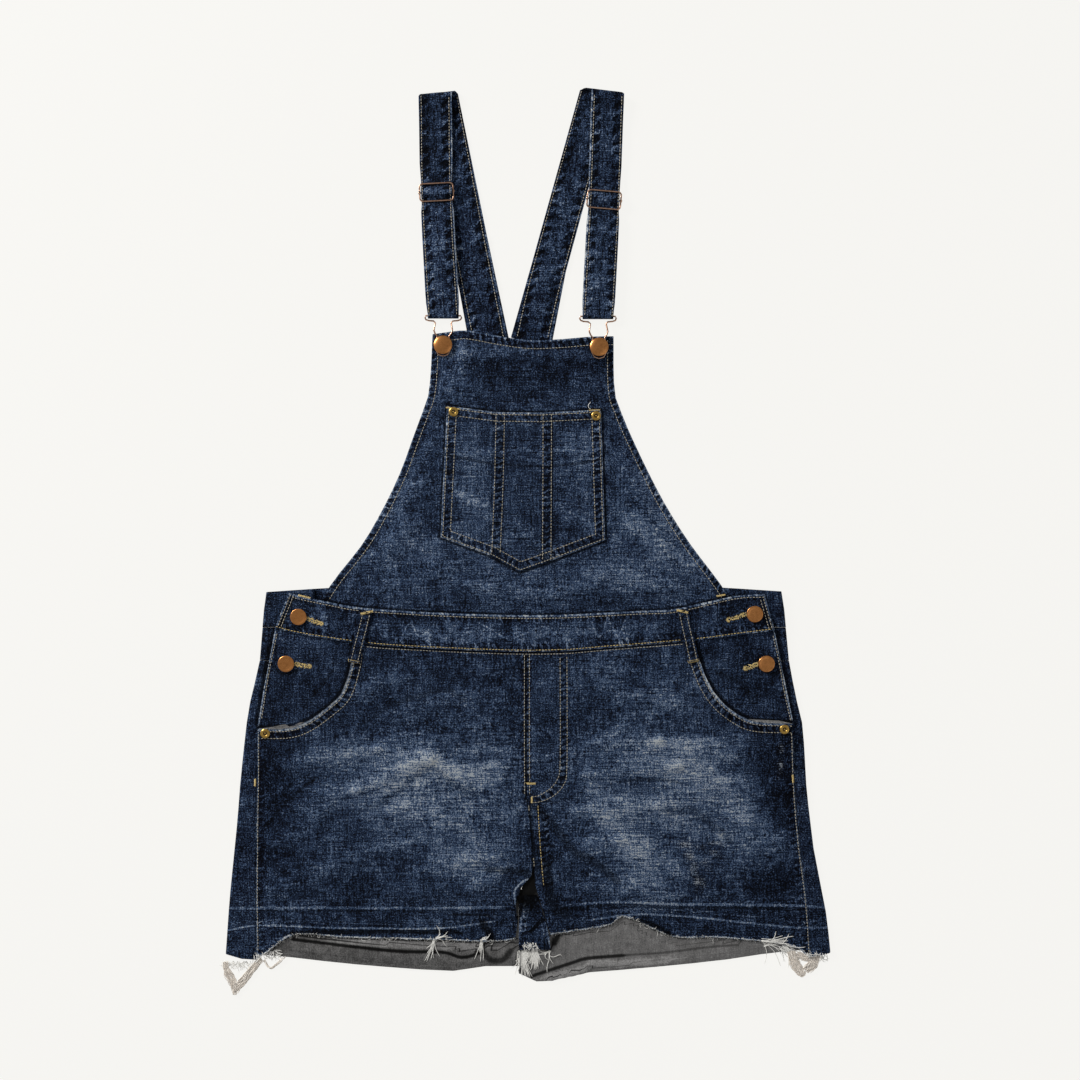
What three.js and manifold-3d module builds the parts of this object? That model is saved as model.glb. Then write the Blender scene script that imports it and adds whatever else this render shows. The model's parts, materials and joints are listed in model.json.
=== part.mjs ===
// Denim short overalls with cut-off legs, laid flat on their back, front side up.
// Millimetres, +Z up. +Y runs from the leg hems to the shoulder ends of the straps,
// and "left" and "right" are as seen from above. z = 0 is the surface they lie on.
import * as THREE from 'three';
import { mergeVertices } from 'three/addons/utils/BufferGeometryUtils.js';
import Module from 'manifold-3d';

const wasm = await Module();
wasm.setup();

// Driving dimensions
const CLOTH = 1.1; // one layer of denim
const BAND = 2.0; // waistband, two layers and an interfacing
const STRAP = 1.8; // strap, two layers
const GAP = 0.3; // clearance between neighbouring pieces
const SEAM_GAP = 0.6; // the same along the curved side seams
const HEM_RAISE = 0.7; // turned hems, seam bands and the fly stand this much higher
const LEG_FOLD = 1.7; // outer radius of the side fold of legs and yokes
const BAND_FOLD = 2.4; // outer radius of the side fold of the back waistband
const WIRE = 0.8; // radius of the buckle and slider wire
const BIB_BUTTON = 9.3; // radii of the buttons and rivets
const SIDE_BUTTON = 8.4;
const RIVET = 4.8;
const LOOP_WIDTH = 11; // belt loop

// Heights of the underside of each layer over the surface
const FOLD_TOP = 2 * LEG_FOLD - CLOTH; // back cloth that comes round the side
const FACING_BASE = FOLD_TOP + CLOTH + GAP;
const POCKET_BASE = FACING_BASE + CLOTH + GAP;
const LEG_BASE = CLOTH + GAP + 0.3;
const BIB_BASE = STRAP + GAP + 0.1;
const FRONT_BAND_BASE = BAND + GAP + 0.1;
const BAND_END_BASE = 2 * BAND_FOLD + GAP;

const DENIM = { color: 0x2a3f5a, roughness: 0.85, metalness: 0 };
const DENIM_INSIDE = { color: 0x6b7480, roughness: 0.9, metalness: 0 };
const COPPER = { color: 0xb9733a, roughness: 0.35, metalness: 1 };
const BRASS = { color: 0xc09038, roughness: 0.4, metalness: 1 };
const WIRE_METAL = { color: 0x9c7460, roughness: 0.4, metalness: 1 };
const FRAY = { color: 0xd8d4c6, roughness: 0.95, metalness: 0 };

const overalls = new THREE.Group();

function add(name, geometry, finish) {
  const mesh = new THREE.Mesh(geometry, new THREE.MeshStandardMaterial(finish));
  mesh.name = name;
  overalls.add(mesh);
  return mesh;
}

// Small helpers on numbers and curves

const mix = (a, b, t) => a + (b - a) * t;
const ease = (t) => THREE.MathUtils.smoothstep(t, 0, 1);
const steps = (count) => Array.from({ length: count + 1 }, (_, k) => k / count);

/** A smooth curve through the rows of a table, as a function of t from 0 to 1. */
function smooth(rows) {
  const curve = new THREE.SplineCurve(rows.map(({ x, y }) => new THREE.Vector2(x, y)));
  return (t) => curve.getPointAt(t);
}

/** One edge made of two: the first up to t = share, the second from there. */
function joined(first, second, share) {
  return (t) => (t <= share ? first(t / share) : second((t - share) / (1 - share)));
}

/** The stretch of an edge between two places along it. */
const part = (edge, from, to) => (t) => edge(mix(from, to, t));

/** Value of one column of a table at another column's value, with straight runs. */
function lookUp(rows, key, value, column) {
  const last = rows.length - 1;
  const rising = rows[last][key] > rows[0][key] ? 1 : -1;
  for (let k = 1; k <= last; k += 1) {
    const a = rows[k - 1];
    const b = rows[k];
    if (k === last || value * rising <= b[key] * rising) {
      const t = THREE.MathUtils.clamp((value - a[key]) / (b[key] - a[key]), 0, 1);
      return mix(a[column], b[column], t);
    }
  }
  return rows[last][column];
}

/** Distance from a point to a curve, measured to short chords of it. */
function distanceTo(edge, chords = 24) {
  const points = steps(chords).map(edge);
  return (x, y) => {
    let least = Infinity;
    for (let k = 1; k < points.length; k += 1) {
      const a = points[k - 1];
      const b = points[k];
      const span = (b.x - a.x) ** 2 + (b.y - a.y) ** 2;
      const t = ((x - a.x) * (b.x - a.x) + (y - a.y) * (b.y - a.y)) / span;
      const near = THREE.MathUtils.clamp(t, 0, 1);
      least = Math.min(least, Math.hypot(x - mix(a.x, b.x, near), y - mix(a.y, b.y, near)));
    }
    return least;
  };
}

/** A patch between four edges; left and right run upwards, the others to the right. */
function patch({ left, right, bottom, top }) {
  const corner = { a: bottom(0), b: bottom(1), c: top(0), d: top(1) };
  return (u, v) => {
    const at = (axis) => mix(bottom(u)[axis], top(u)[axis], v)
      + mix(left(v)[axis], right(v)[axis], u)
      - mix(mix(corner.a[axis], corner.b[axis], u), mix(corner.c[axis], corner.d[axis], u), v);
    return { x: at('x'), y: at('y') };
  };
}

// Cloth walls

/** A closed wall between two grids of points of equal size. */
function wall(upper, lower) {
  const rows = upper.length;
  const columns = upper[0].length;
  const points = [...upper.flat(), ...lower.flat()];
  const faces = [];
  const quad = (a, b, c, d) => faces.push(a, b, c, a, c, d);
  const top = (j, i) => j * columns + i;
  const under = (j, i) => rows * columns + j * columns + i;
  for (let j = 1; j < rows; j += 1) {
    for (let i = 1; i < columns; i += 1) {
      quad(top(j - 1, i - 1), top(j - 1, i), top(j, i), top(j, i - 1));
      quad(under(j - 1, i - 1), under(j, i - 1), under(j, i), under(j - 1, i));
    }
  }
  for (let i = 1; i < columns; i += 1) {
    quad(under(0, i - 1), under(0, i), top(0, i), top(0, i - 1));
    quad(top(rows - 1, i - 1), top(rows - 1, i), under(rows - 1, i), under(rows - 1, i - 1));
  }
  for (let j = 1; j < rows; j += 1) {
    quad(top(j - 1, 0), top(j, 0), under(j, 0), under(j - 1, 0));
    quad(under(j - 1, columns - 1), under(j, columns - 1), top(j, columns - 1), top(j - 1, columns - 1));
  }
  return facingOut(points, faces);
}

/** Geometry of a closed surface, turned right side out. */
function facingOut(points, faces) {
  let volume = 0;
  for (let k = 0; k < faces.length; k += 3) {
    const [a, b, c] = [points[faces[k]], points[faces[k + 1]], points[faces[k + 2]]];
    volume += a.dot(new THREE.Vector3().crossVectors(b, c));
  }
  const geometry = new THREE.BufferGeometry();
  geometry.setFromPoints(points);
  geometry.setIndex(volume < 0 ? [...faces].reverse() : faces);
  return geometry;
}

/** A layer of cloth over a patch; under(x, y) is its lower face, raised its thicker places. */
function layer({ place, columns, rows, under, thick = CLOTH, raised = () => 0 }) {
  const lower = [];
  const upper = [];
  for (const v of rows) {
    const spots = columns(v).map((u) => ({ ...place(u, v), u, v }));
    lower.push(spots.map(({ x, y }) => new THREE.Vector3(x, y, under(x, y))));
    upper.push(spots.map((s) => new THREE.Vector3(s.x, s.y, under(s.x, s.y) + thick + raised(s))));
  }
  return wall(upper, lower);
}

/** Highest point of some geometries over one spot, or the given floor where none is. */
function heightOver(geometries, x, y, floor = 0) {
  let height = floor;
  for (const geometry of geometries) {
    const place = geometry.getAttribute('position');
    const index = geometry.getIndex();
    for (let k = 0; k < index.count; k += 3) {
      const [a, b, c] = [0, 1, 2].map((n) => index.getX(k + n));
      const [ax, ay] = [place.getX(a), place.getY(a)];
      const [bx, by] = [place.getX(b), place.getY(b)];
      const [cx, cy] = [place.getX(c), place.getY(c)];
      const area = (bx - ax) * (cy - ay) - (cx - ax) * (by - ay);
      if (Math.abs(area) > 1e-6) {
        const s = ((bx - x) * (cy - y) - (cx - x) * (by - y)) / area;
        const t = ((cx - x) * (ay - y) - (ax - x) * (cy - y)) / area;
        if (s >= 0 && t >= 0 && s + t <= 1) {
          const z = s * place.getZ(a) + t * place.getZ(b) + (1 - s - t) * place.getZ(c);
          height = Math.max(height, z);
        }
      }
    }
  }
  return height;
}

/** Highest point of some geometries over a small round spot. */
function seatOver(geometries, x, y, radius) {
  const rim = steps(8).map((t) => 2 * Math.PI * t);
  const around = rim.map((a) => [x + radius * Math.cos(a), y + radius * Math.sin(a)]);
  return Math.max(...[[x, y], ...around].map(([px, py]) => heightOver(geometries, px, py)));
}

/** Soft folds of a panel: each row of the table is one ridge from one place to another. */
function folds(rows) {
  return (x, y) => rows.reduce((sum, fold) => {
    const span = Math.hypot(fold.toX - fold.x, fold.toY - fold.y);
    const along = ((x - fold.x) * (fold.toX - fold.x) + (y - fold.y) * (fold.toY - fold.y)) / span;
    const near = THREE.MathUtils.clamp(along, 0, span);
    const nearX = mix(fold.x, fold.toX, near / span);
    const nearY = mix(fold.y, fold.toY, near / span);
    const away = Math.hypot(x - nearX, y - nearY) / fold.wide;
    return sum + fold.rise * Math.exp(-away * away);
  }, 0);
}

// Outlines, measured on the garment

const WAIST_TOP = [
  { x: -238.5, y: -50.5 },
  { x: -223.5, y: -54.5 },
  { x: -199.5, y: -59.5 },
  { x: -165.5, y: -65.5 },
  { x: -98.5, y: -70 },
  { x: -28.5, y: -72.5 },
  { x: 31.5, y: -72.5 },
  { x: 111.5, y: -68.5 },
  { x: 147.5, y: -66.5 },
  { x: 204.5, y: -53.5 },
  { x: 235, y: -51.5 },
];
const WAIST_SEAM = [
  { x: -252.5, y: -85.5 },
  { x: -228.5, y: -91.5 },
  { x: -174.5, y: -100 },
  { x: -129.5, y: -104.5 },
  { x: -28.5, y: -109 },
  { x: 31.5, y: -109 },
  { x: 71.5, y: -106 },
  { x: 161.5, y: -98.5 },
  { x: 211.5, y: -92 },
  { x: 245.5, y: -88 },
];

/** Height of the waist lines at one x, and the stretch of a line between two x. */
const waistLine = (rows, from, to, dy) => (t) => {
  const x = mix(from, to, t);
  return { x, y: lookUp(rows, 'x', x, 'y') + dy };
};

// Side silhouette of the shorts, with the place of the side seam on the front
const SIDE = {
  left: [
    { y: -40, edge: -260, seam: -214 },
    { y: -61.5, edge: -263.5, seam: -214 },
    { y: -121.5, edge: -268.5, seam: -216 },
    { y: -157.5, edge: -277.5, seam: -224 },
    { y: -178, edge: -281, seam: -246 },
    { y: -190.5, edge: -282.5, seam: -270.3 },
    { y: -237.5, edge: -287.5, seam: -271 },
    { y: -277.5, edge: -290.5, seam: -271.8 },
    { y: -357.5, edge: -298.5, seam: -272.2 },
    { y: -416, edge: -302.5, seam: -271.6 },
  ],
  right: [
    { y: -40, edge: 251, seam: 212 },
    { y: -61.5, edge: 255, seam: 212 },
    { y: -121.5, edge: 260.5, seam: 214 },
    { y: -157.5, edge: 267.5, seam: 222 },
    { y: -174, edge: 272, seam: 244 },
    { y: -186.5, edge: 274.5, seam: 263.7 },
    { y: -249.5, edge: 278, seam: 266.4 },
    { y: -303.5, edge: 284.5, seam: 271 },
    { y: -337.5, edge: 291, seam: 275.6 },
    { y: -372.5, edge: 298, seam: 279.4 },
    { y: -416, edge: 302.5, seam: 281.8 },
  ],
};

// Pocket mouth of each front leg, from the side seam up to the waistband
const POCKET_MOUTH = {
  left: [
    { x: -269.5, y: -186 },
    { x: -240.5, y: -185.5 },
    { x: -222.5, y: -180 },
    { x: -201.5, y: -165.5 },
    { x: -185.5, y: -149.5 },
    { x: -176.5, y: -121.5 },
    { x: -174.5, y: -100.4 },
  ],
  right: [
    { x: 263, y: -180.5 },
    { x: 227.5, y: -179 },
    { x: 210, y: -172.5 },
    { x: 192, y: -158.5 },
    { x: 179.5, y: -140.5 },
    { x: 169, y: -113.5 },
    { x: 164.5, y: -98.6 },
  ],
};

// Raw front hems from the side seam to the inseam
const FRONT_HEM = {
  left: [
    { x: -271.1, y: -415.5 },
    { x: -256, y: -406 },
    { x: -233.5, y: -391.5 },
    { x: -178.5, y: -394.5 },
    { x: -98.5, y: -396.5 },
    { x: -38.5, y: -398.5 },
    { x: -13, y: -396 },
  ],
  right: [
    { x: 281.3, y: -415.5 },
    { x: 261.5, y: -402.5 },
    { x: 191.5, y: -394.5 },
    { x: 143.5, y: -393.5 },
    { x: 96.5, y: -373.5 },
    { x: 79.5, y: -382.5 },
    { x: 22, y: -391.5 },
  ],
};

// Centre front seam and inseam, from the hem up to the waistband
const CENTRE_TOP = -109.3;
const CENTRE = {
  left: [
    { x: -13, y: -396 },
    { x: -10.8, y: -378 },
    { x: -12.5, y: -352 },
    { x: 1, y: -337 },
    { x: 4.5, y: -322 },
    { x: 1.5, y: -280 },
    { x: -1.8, y: -256 },
    { x: -2, y: -180 },
    { x: -2, y: CENTRE_TOP },
  ],
  right: [
    { x: 22, y: -391.5 },
    { x: 14, y: -365 },
    { x: 7.5, y: -345 },
    { x: 5.8, y: -328 },
    { x: 2.5, y: -280 },
    { x: -1.1, y: -256 },
    { x: -1.5, y: -180 },
    { x: -1.5, y: CENTRE_TOP },
  ],
};
const FLY = { width: 39, bottom: -259 };

const LEG_FOLDS = {
  left: [
    { x: -165, y: -152, toX: -70, toY: -132, rise: 0.9, wide: 13 },
    { x: -215, y: -262, toX: -98, toY: -212, rise: 1.2, wide: 15 },
    { x: -98, y: -212, toX: -35, toY: -235, rise: 1.1, wide: 14 },
    { x: -230, y: -330, toX: -150, toY: -275, rise: 1.3, wide: 17 },
    { x: -25, y: -325, toX: -105, toY: -282, rise: 1.2, wide: 14 },
    { x: -30, y: -362, toX: -140, toY: -345, rise: 1.0, wide: 14 },
  ],
  right: [
    { x: 55, y: -135, toX: 150, toY: -150, rise: 0.9, wide: 13 },
    { x: 60, y: -225, toX: 185, toY: -204, rise: 1.2, wide: 14 },
    { x: 45, y: -268, toX: 170, toY: -250, rise: 1.1, wide: 15 },
    { x: 35, y: -325, toX: 120, toY: -290, rise: 1.2, wide: 15 },
    { x: 150, y: -345, toX: 235, toY: -290, rise: 1.3, wide: 17 },
    { x: 45, y: -362, toX: 130, toY: -352, rise: 0.9, wide: 14 },
  ],
};

// Front legs

/** Columns that put narrow steps at both edges of a panel of changing width. */
const hemmedColumns = (place, hem, inner) => (v) => {
  const a = place(0, v);
  const b = place(1, v);
  const share = hem / Math.hypot(b.x - a.x, b.y - a.y);
  return [0, share, ...steps(inner).map((t) => mix(share * 1.25, 1 - share * 1.25, t)), 1 - share, 1];
};

function frontLeg(side) {
  const sign = side === 'left' ? -1 : 1;
  const seamRows = SIDE[side].filter(({ y }) => y < POCKET_MOUTH[side][0].y).reverse();
  const seam = smooth([FRONT_HEM[side][0], ...seamRows.slice(1, -1).map(({ y, seam: x }) => ({
    x: x - SEAM_GAP * sign,
    y,
  })), POCKET_MOUTH[side][0]]);
  const mouth = smooth(POCKET_MOUTH[side]);
  const centre = smooth(CENTRE[side]);
  const seamSteps = 12;
  const mouthSteps = 8;
  const share = seamSteps / (seamSteps + mouthSteps);
  const mouthTop = POCKET_MOUTH[side][POCKET_MOUTH[side].length - 1].x;
  const place = patch({
    left: joined(seam, mouth, share),
    right: joined(part(centre, 0, 0.72), part(centre, 0.72, 1), share),
    bottom: smooth(FRONT_HEM[side]),
    top: waistLine(WAIST_SEAM, mouthTop, CENTRE[side][CENTRE[side].length - 1].x, -GAP),
  });
  const toMouth = distanceTo(mouth);
  const toSeam = distanceTo(seam);
  const toCentre = distanceTo(centre);
  const soft = folds(LEG_FOLDS[side]);
  const under = (x, y) => {
    const overFacing = mix(POCKET_BASE, LEG_BASE, ease((toMouth(x, y) - 22) / 34));
    const atSeam = mix(FOLD_TOP, LEG_BASE, ease(toSeam(x, y) / 30));
    const free = ease(Math.min(toMouth(x, y) - 20, toSeam(x, y), toCentre(x, y)) / 24);
    const atWaist = ease((-y - 112) / 16);
    return Math.max(overFacing, atSeam, LEG_BASE + soft(x, y) * free * atWaist);
  };
  const onFly = ({ x, y }) => side === 'right' && x < FLY.width && y > FLY.bottom;
  const atMouth = ({ u, v }) => u === 0 && v > share;
  return layer({
    place,
    rows: steps(seamSteps + mouthSteps),
    columns: () => steps(18),
    under,
    raised: (spot) => (onFly(spot) || atMouth(spot) ? HEM_RAISE : 0),
  });
}

/** Hip piece behind the pocket mouth, which carries the lower button tab. */
function pocketFacing(side) {
  const sign = side === 'left' ? -1 : 1;
  const lap = 9;
  const mouth = smooth(POCKET_MOUTH[side]);
  const behindMouth = (t) => {
    const at = mouth(mix(0.04, 0.985, t));
    const next = mouth(mix(0.04, 0.985, t) + 0.01);
    const run = Math.hypot(next.x - at.x, next.y - at.y);
    return {
      x: at.x - lap * sign * Math.abs(next.y - at.y) / run,
      y: at.y - lap * Math.abs(next.x - at.x) / run,
    };
  };
  const waistEnd = WAIST_SEAM[side === 'left' ? 0 : WAIST_SEAM.length - 1];
  const lowEnd = { x: SIDE[side].find(({ y }) => y < -183).seam + 1 * sign, y: POCKET_MOUTH[side][0].y - 3 };
  const outer = smooth([
    lowEnd,
    { x: mix(lowEnd.x, waistEnd.x, 0.35), y: mix(lowEnd.y, waistEnd.y, 0.36) },
    { x: mix(lowEnd.x, waistEnd.x, 0.72), y: mix(lowEnd.y, waistEnd.y, 0.7) },
    { x: waistEnd.x, y: waistEnd.y - GAP },
  ]);
  const inner = behindMouth;
  const topEnd = inner(1);
  const place = patch({
    left: outer,
    right: inner,
    bottom: smooth([outer(0), inner(0)]),
    top: waistLine(WAIST_SEAM, waistEnd.x, topEnd.x, -GAP),
  });
  const topRow = (u, v) => {
    const spot = place(u, v);
    return v < 1 ? spot : { x: spot.x, y: lookUp(WAIST_SEAM, 'x', spot.x, 'y') - GAP };
  };
  return layer({
    place: topRow,
    rows: steps(8),
    columns: hemmedColumns(topRow, 5, 6),
    under: () => FACING_BASE,
    raised: ({ u }) => (u < 0.1 ? HEM_RAISE * 0.5 : 0),
  });
}

// Back pieces: they lie on the surface, turn over at the side and come back to the side seam

/** Section points of a wall that turns over at its outer edge; s is 0 inside, 1 at the seam. */
function foldedSection({ inside, edge, seam, thick, radius, count }) {
  const sign = Math.sign(edge);
  const bend = edge - sign * radius;
  const floor = steps(count.floor).map((t) => ({ x: mix(inside, bend, t), z: thick / 2, turn: 0 }));
  const arc = steps(count.arc).slice(1, -1).map((t) => ({
    x: bend + sign * (radius - thick / 2) * Math.sin(Math.PI * t),
    z: radius - (radius - thick / 2) * Math.cos(Math.PI * t),
    turn: Math.PI * t,
  }));
  const strip = steps(count.strip).map((t) => ({
    x: mix(bend, seam, t),
    z: 2 * radius - thick / 2,
    turn: Math.PI,
  }));
  return [...floor, ...arc, ...strip].map(({ x, z, turn }) => ({
    out: { x: x + sign * (thick / 2) * Math.sin(turn), z: z - (thick / 2) * Math.cos(turn) },
    in: { x: x - sign * (thick / 2) * Math.sin(turn), z: z + (thick / 2) * Math.cos(turn) },
  }));
}

function backPiece({ turn, inside, top, bottom, stripBottom, rows, thick, radius, count }) {
  const upper = [];
  const lower = [];
  for (const v of rows) {
    const nominal = mix(bottom(turn[0].edge), top(turn[0].edge), v);
    const edge = lookUp(turn, 'y', nominal, 'edge');
    const guess = lookUp(turn, 'y', nominal, 'seam');
    const seamHeight = mix(stripBottom(guess), top(guess), v);
    const seam = lookUp(turn, 'y', seamHeight, 'seam');
    const section = foldedSection({ inside: inside(nominal), edge, seam, thick, radius, count });
    const height = (x, k) => {
      const low = k > count.floor + count.arc / 2 ? stripBottom(x) : bottom(x);
      return mix(low, top(x), v);
    };
    const at = ({ x, z }, k) => new THREE.Vector3(x, height(x, k), z);
    upper.push(section.map((point, k) => at(point.out, k)));
    lower.push(section.map((point, k) => at(point.in, k)));
  }
  return wall(upper, lower);
}

const YOKE_TOP_SIDE = -85.2;
const yokeTop = (x) => mix(-82, YOKE_TOP_SIDE, Math.min(Math.abs(x) / 260, 1));
const yokeSeam = (x) => mix(-152, -117.5, Math.min(Math.abs(x) / 262, 1));
const bandTop = (x) => mix(-40, -49.5, Math.min((Math.abs(x) / 258) ** 2, 1.05));
const BACK_HEM = {
  left: [
    { x: -303, y: -411 },
    { x: -256.5, y: -412.5 },
    { x: -188.5, y: -420.5 },
    { x: -128.5, y: -425.5 },
    { x: -77.5, y: -429 },
    { x: -48.5, y: -422.5 },
    { x: -28.5, y: -426.5 },
    { x: -10, y: -423.5 },
  ],
  right: [
    { x: -10, y: -430.5 },
    { x: 12.5, y: -441 },
    { x: 51.5, y: -430.5 },
    { x: 103.5, y: -426.5 },
    { x: 161.5, y: -421 },
    { x: 211.5, y: -415.5 },
    { x: 256.5, y: -407.5 },
    { x: 303, y: -409 },
  ],
};
const STRIP_HEM = {
  left: [{ x: -304, y: -410.5 }, { x: -278.5, y: -418 }, { x: -268, y: -416 }],
  right: [{ x: 278, y: -414 }, { x: 290, y: -413 }, { x: 304, y: -409 }],
};
const CROTCH = { from: -308, to: -330, left: -10.4, right: -6 };

// Below the crotch the right back leg turns over at the inside too, on to the front
const INNER_TURN = {
  edge: [
    { y: -352, edge: -9.6, seam: 8.6 },
    { y: -372, edge: -9.6, seam: 15.2 },
    { y: -391, edge: -9.6, seam: 21 },
    { y: -410, edge: -9.6, seam: 22.2 },
  ],
  top: -352,
  stripBottom: -406.5,
  inside: 40,
};

function innerTurn() {
  return backPiece({
    turn: INNER_TURN.edge,
    inside: () => INNER_TURN.inside,
    top: () => INNER_TURN.top,
    bottom: (x) => lookUp(BACK_HEM.right, 'x', x, 'y'),
    stripBottom: () => INNER_TURN.stripBottom,
    rows: steps(5),
    thick: CLOTH,
    radius: LEG_FOLD,
    count: { floor: 3, arc: 4, strip: 2 },
  });
}

function backLeg(side) {
  const sign = side === 'left' ? -1 : 1;
  const inside = (y) => mix(sign * 0.2, CROTCH[side], ease((CROTCH.from - y) / (CROTCH.from - CROTCH.to)));
  return backPiece({
    turn: SIDE[side],
    inside,
    top: (x) => yokeSeam(x) - GAP,
    bottom: (x) => lookUp(BACK_HEM[side], 'x', x, 'y'),
    stripBottom: (x) => lookUp(STRIP_HEM[side], 'x', x, 'y'),
    rows: steps(14),
    thick: CLOTH,
    radius: LEG_FOLD,
    count: { floor: 9, arc: 4, strip: 2 },
  });
}

function backYoke(side) {
  const sign = side === 'left' ? -1 : 1;
  return backPiece({
    turn: SIDE[side],
    inside: () => sign * 0.2,
    top: yokeTop,
    bottom: yokeSeam,
    stripBottom: yokeSeam,
    rows: steps(2),
    thick: CLOTH,
    radius: LEG_FOLD,
    count: { floor: 6, arc: 4, strip: 2 },
  });
}

/** The back waistband turns over at both sides, beneath the buttoned front tabs. */
function backWaistband() {
  const upper = [];
  const lower = [];
  for (const v of steps(2)) {
    const halves = ['left', 'right'].map((side) => {
      const nominal = mix(YOKE_TOP_SIDE, bandTop(SIDE[side][0].edge), v);
      const section = foldedSection({
        inside: 0,
        edge: lookUp(SIDE[side], 'y', nominal, 'edge'),
        seam: lookUp(SIDE[side], 'y', nominal, 'seam'),
        thick: BAND,
        radius: BAND_FOLD,
        count: { floor: 6, arc: 6, strip: 2 },
      });
      return side === 'left' ? section.reverse() : section.slice(1);
    });
    const at = ({ x, z }) => new THREE.Vector3(x, mix(yokeTop(x) + GAP, bandTop(x), v), z);
    upper.push(halves.flat().map((point) => at(point.out)));
    lower.push(halves.flat().map((point) => at(point.in)));
  }
  return wall(upper, lower);
}

const BACK_BIB = {
  bottomHalf: 112,
  top: [
    { x: -64, y: 195 },
    { x: -58.4, y: 195 },
    { x: -19.6, y: 202.5 },
    { x: -17.4, y: 204 },
    { x: 22.9, y: 193.2 },
    { x: 28, y: 193.2 },
  ],
};

function backBib() {
  const { bottomHalf, top } = BACK_BIB;
  const first = top[0];
  const last = top[top.length - 1];
  const low = (x) => ({ x, y: bandTop(x) + SEAM_GAP });
  return layer({
    place: patch({
      left: smooth([low(-bottomHalf), first]),
      right: smooth([low(bottomHalf), last]),
      bottom: (t) => low(mix(-bottomHalf, bottomHalf, t)),
      top: waistLine(top, first.x, last.x, 0),
    }),
    rows: steps(6),
    columns: () => top.map(({ x }) => (x - first.x) / (last.x - first.x)),
    under: () => 0,
  });
}

// Front waistband

function frontWaistband() {
  const left = WAIST_TOP[0];
  const right = WAIST_TOP[WAIST_TOP.length - 1];
  const lowLeft = WAIST_SEAM[0];
  const lowRight = WAIST_SEAM[WAIST_SEAM.length - 1];
  const place = patch({
    left: smooth([lowLeft, left]),
    right: smooth([lowRight, right]),
    bottom: waistLine(WAIST_SEAM, lowLeft.x, lowRight.x, 0),
    top: waistLine(WAIST_TOP, left.x, right.x, 0),
  });
  return layer({
    place,
    rows: [0, 0.12, 0.5, 0.88, 1],
    columns: () => steps(44),
    under: (x) => mix(FRONT_BAND_BASE, BAND_END_BASE, ease((Math.abs(x) - 158) / 34)),
    thick: BAND,
    raised: ({ v }) => (v === 0.5 ? -0.25 : 0),
  });
}

// Bib

const BIB_TOP = [
  { x: -95.5, y: 207.5 },
  { x: -73.5, y: 210.5 },
  { x: -58.5, y: 211 },
  { x: -28.5, y: 205.5 },
  { x: 1.5, y: 201.5 },
  { x: 31.5, y: 202.5 },
  { x: 61.5, y: 205 },
  { x: 85, y: 205.5 },
];
const BIB_SIDE = [
  { y: -37.5, left: -193.5, right: 188.5 },
  { y: -1.5, left: -165.5, right: 161.5 },
  { y: 34.5, left: -144.5, right: 138.5 },
  { y: 70.5, left: -127.5, right: 119.5 },
  { y: 106.5, left: -114.5, right: 102.5 },
  { y: 130.5, left: -105.5, right: 92.5 },
  { y: 152.5, left: -99, right: 86 },
];
const BIB_CORNER = { left: -206.5, right: 200 };
const BIB_HEM = { side: 7, top: 9 };
const BIB_FOLDS = [
  { x: -65, y: 200, toX: -66, toY: 165, rise: 0.7, wide: 12 },
  { x: -75, y: 186, toX: 70, toY: 184, rise: 0.6, wide: 11 },
  { x: -150, y: -15, toX: -95, toY: 60, rise: 0.9, wide: 14 },
  { x: 95, y: 60, toX: 145, toY: -15, rise: 0.9, wide: 14 },
  { x: -60, y: -48, toX: 60, toY: -46, rise: 0.8, wide: 12 },
];

const bibLow = (x) => ({ x, y: lookUp(WAIST_TOP, 'x', x, 'y') + GAP });
const bibSide = (side, top) => smooth([
  bibLow(BIB_CORNER[side]),
  ...BIB_SIDE.map(({ y, [side]: x }) => ({ x, y })),
  top,
]);
const bibLeft = bibSide('left', BIB_TOP[0]);
const bibRight = bibSide('right', BIB_TOP[BIB_TOP.length - 1]);
const bibPlace = patch({
  left: bibLeft,
  right: bibRight,
  bottom: (t) => bibLow(mix(BIB_CORNER.left, BIB_CORNER.right, t)),
  top: smooth(BIB_TOP),
});
const toBibLeft = distanceTo(bibLeft);
const toBibRight = distanceTo(bibRight);
const bibSoft = folds(BIB_FOLDS);

/** The bib's free side edges come down to the surface; the rest lies on the back and straps. */
function bibUnder(x, y) {
  const inside = Math.min(toBibLeft(x, y), toBibRight(x, y));
  const overBand = ease((-y - 5) / 25);
  const overStraps = ease((y - 175) / 15);
  const lift = Math.max(ease(inside / 26), overBand, overStraps);
  const free = ease((inside - 8) / 20);
  return BIB_BASE * lift + bibSoft(x, y) * free;
}

function frontBib() {
  const hemRow = 1 - BIB_HEM.top / 262;
  return layer({
    place: bibPlace,
    rows: [...steps(17).map((t) => t * (hemRow - 0.008)), hemRow, 1],
    columns: hemmedColumns(bibPlace, BIB_HEM.side, 18),
    under: bibUnder,
    raised: ({ u, v }) => {
      const a = bibPlace(0, v);
      const b = bibPlace(1, v);
      const hem = (BIB_HEM.side + 0.5) / (b.x - a.x);
      return u < hem || u > 1 - hem || v > hemRow - 0.004 ? HEM_RAISE : 0;
    },
  });
}

// Bib pocket: three panels; the middle one's lapped seams stand higher

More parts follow.
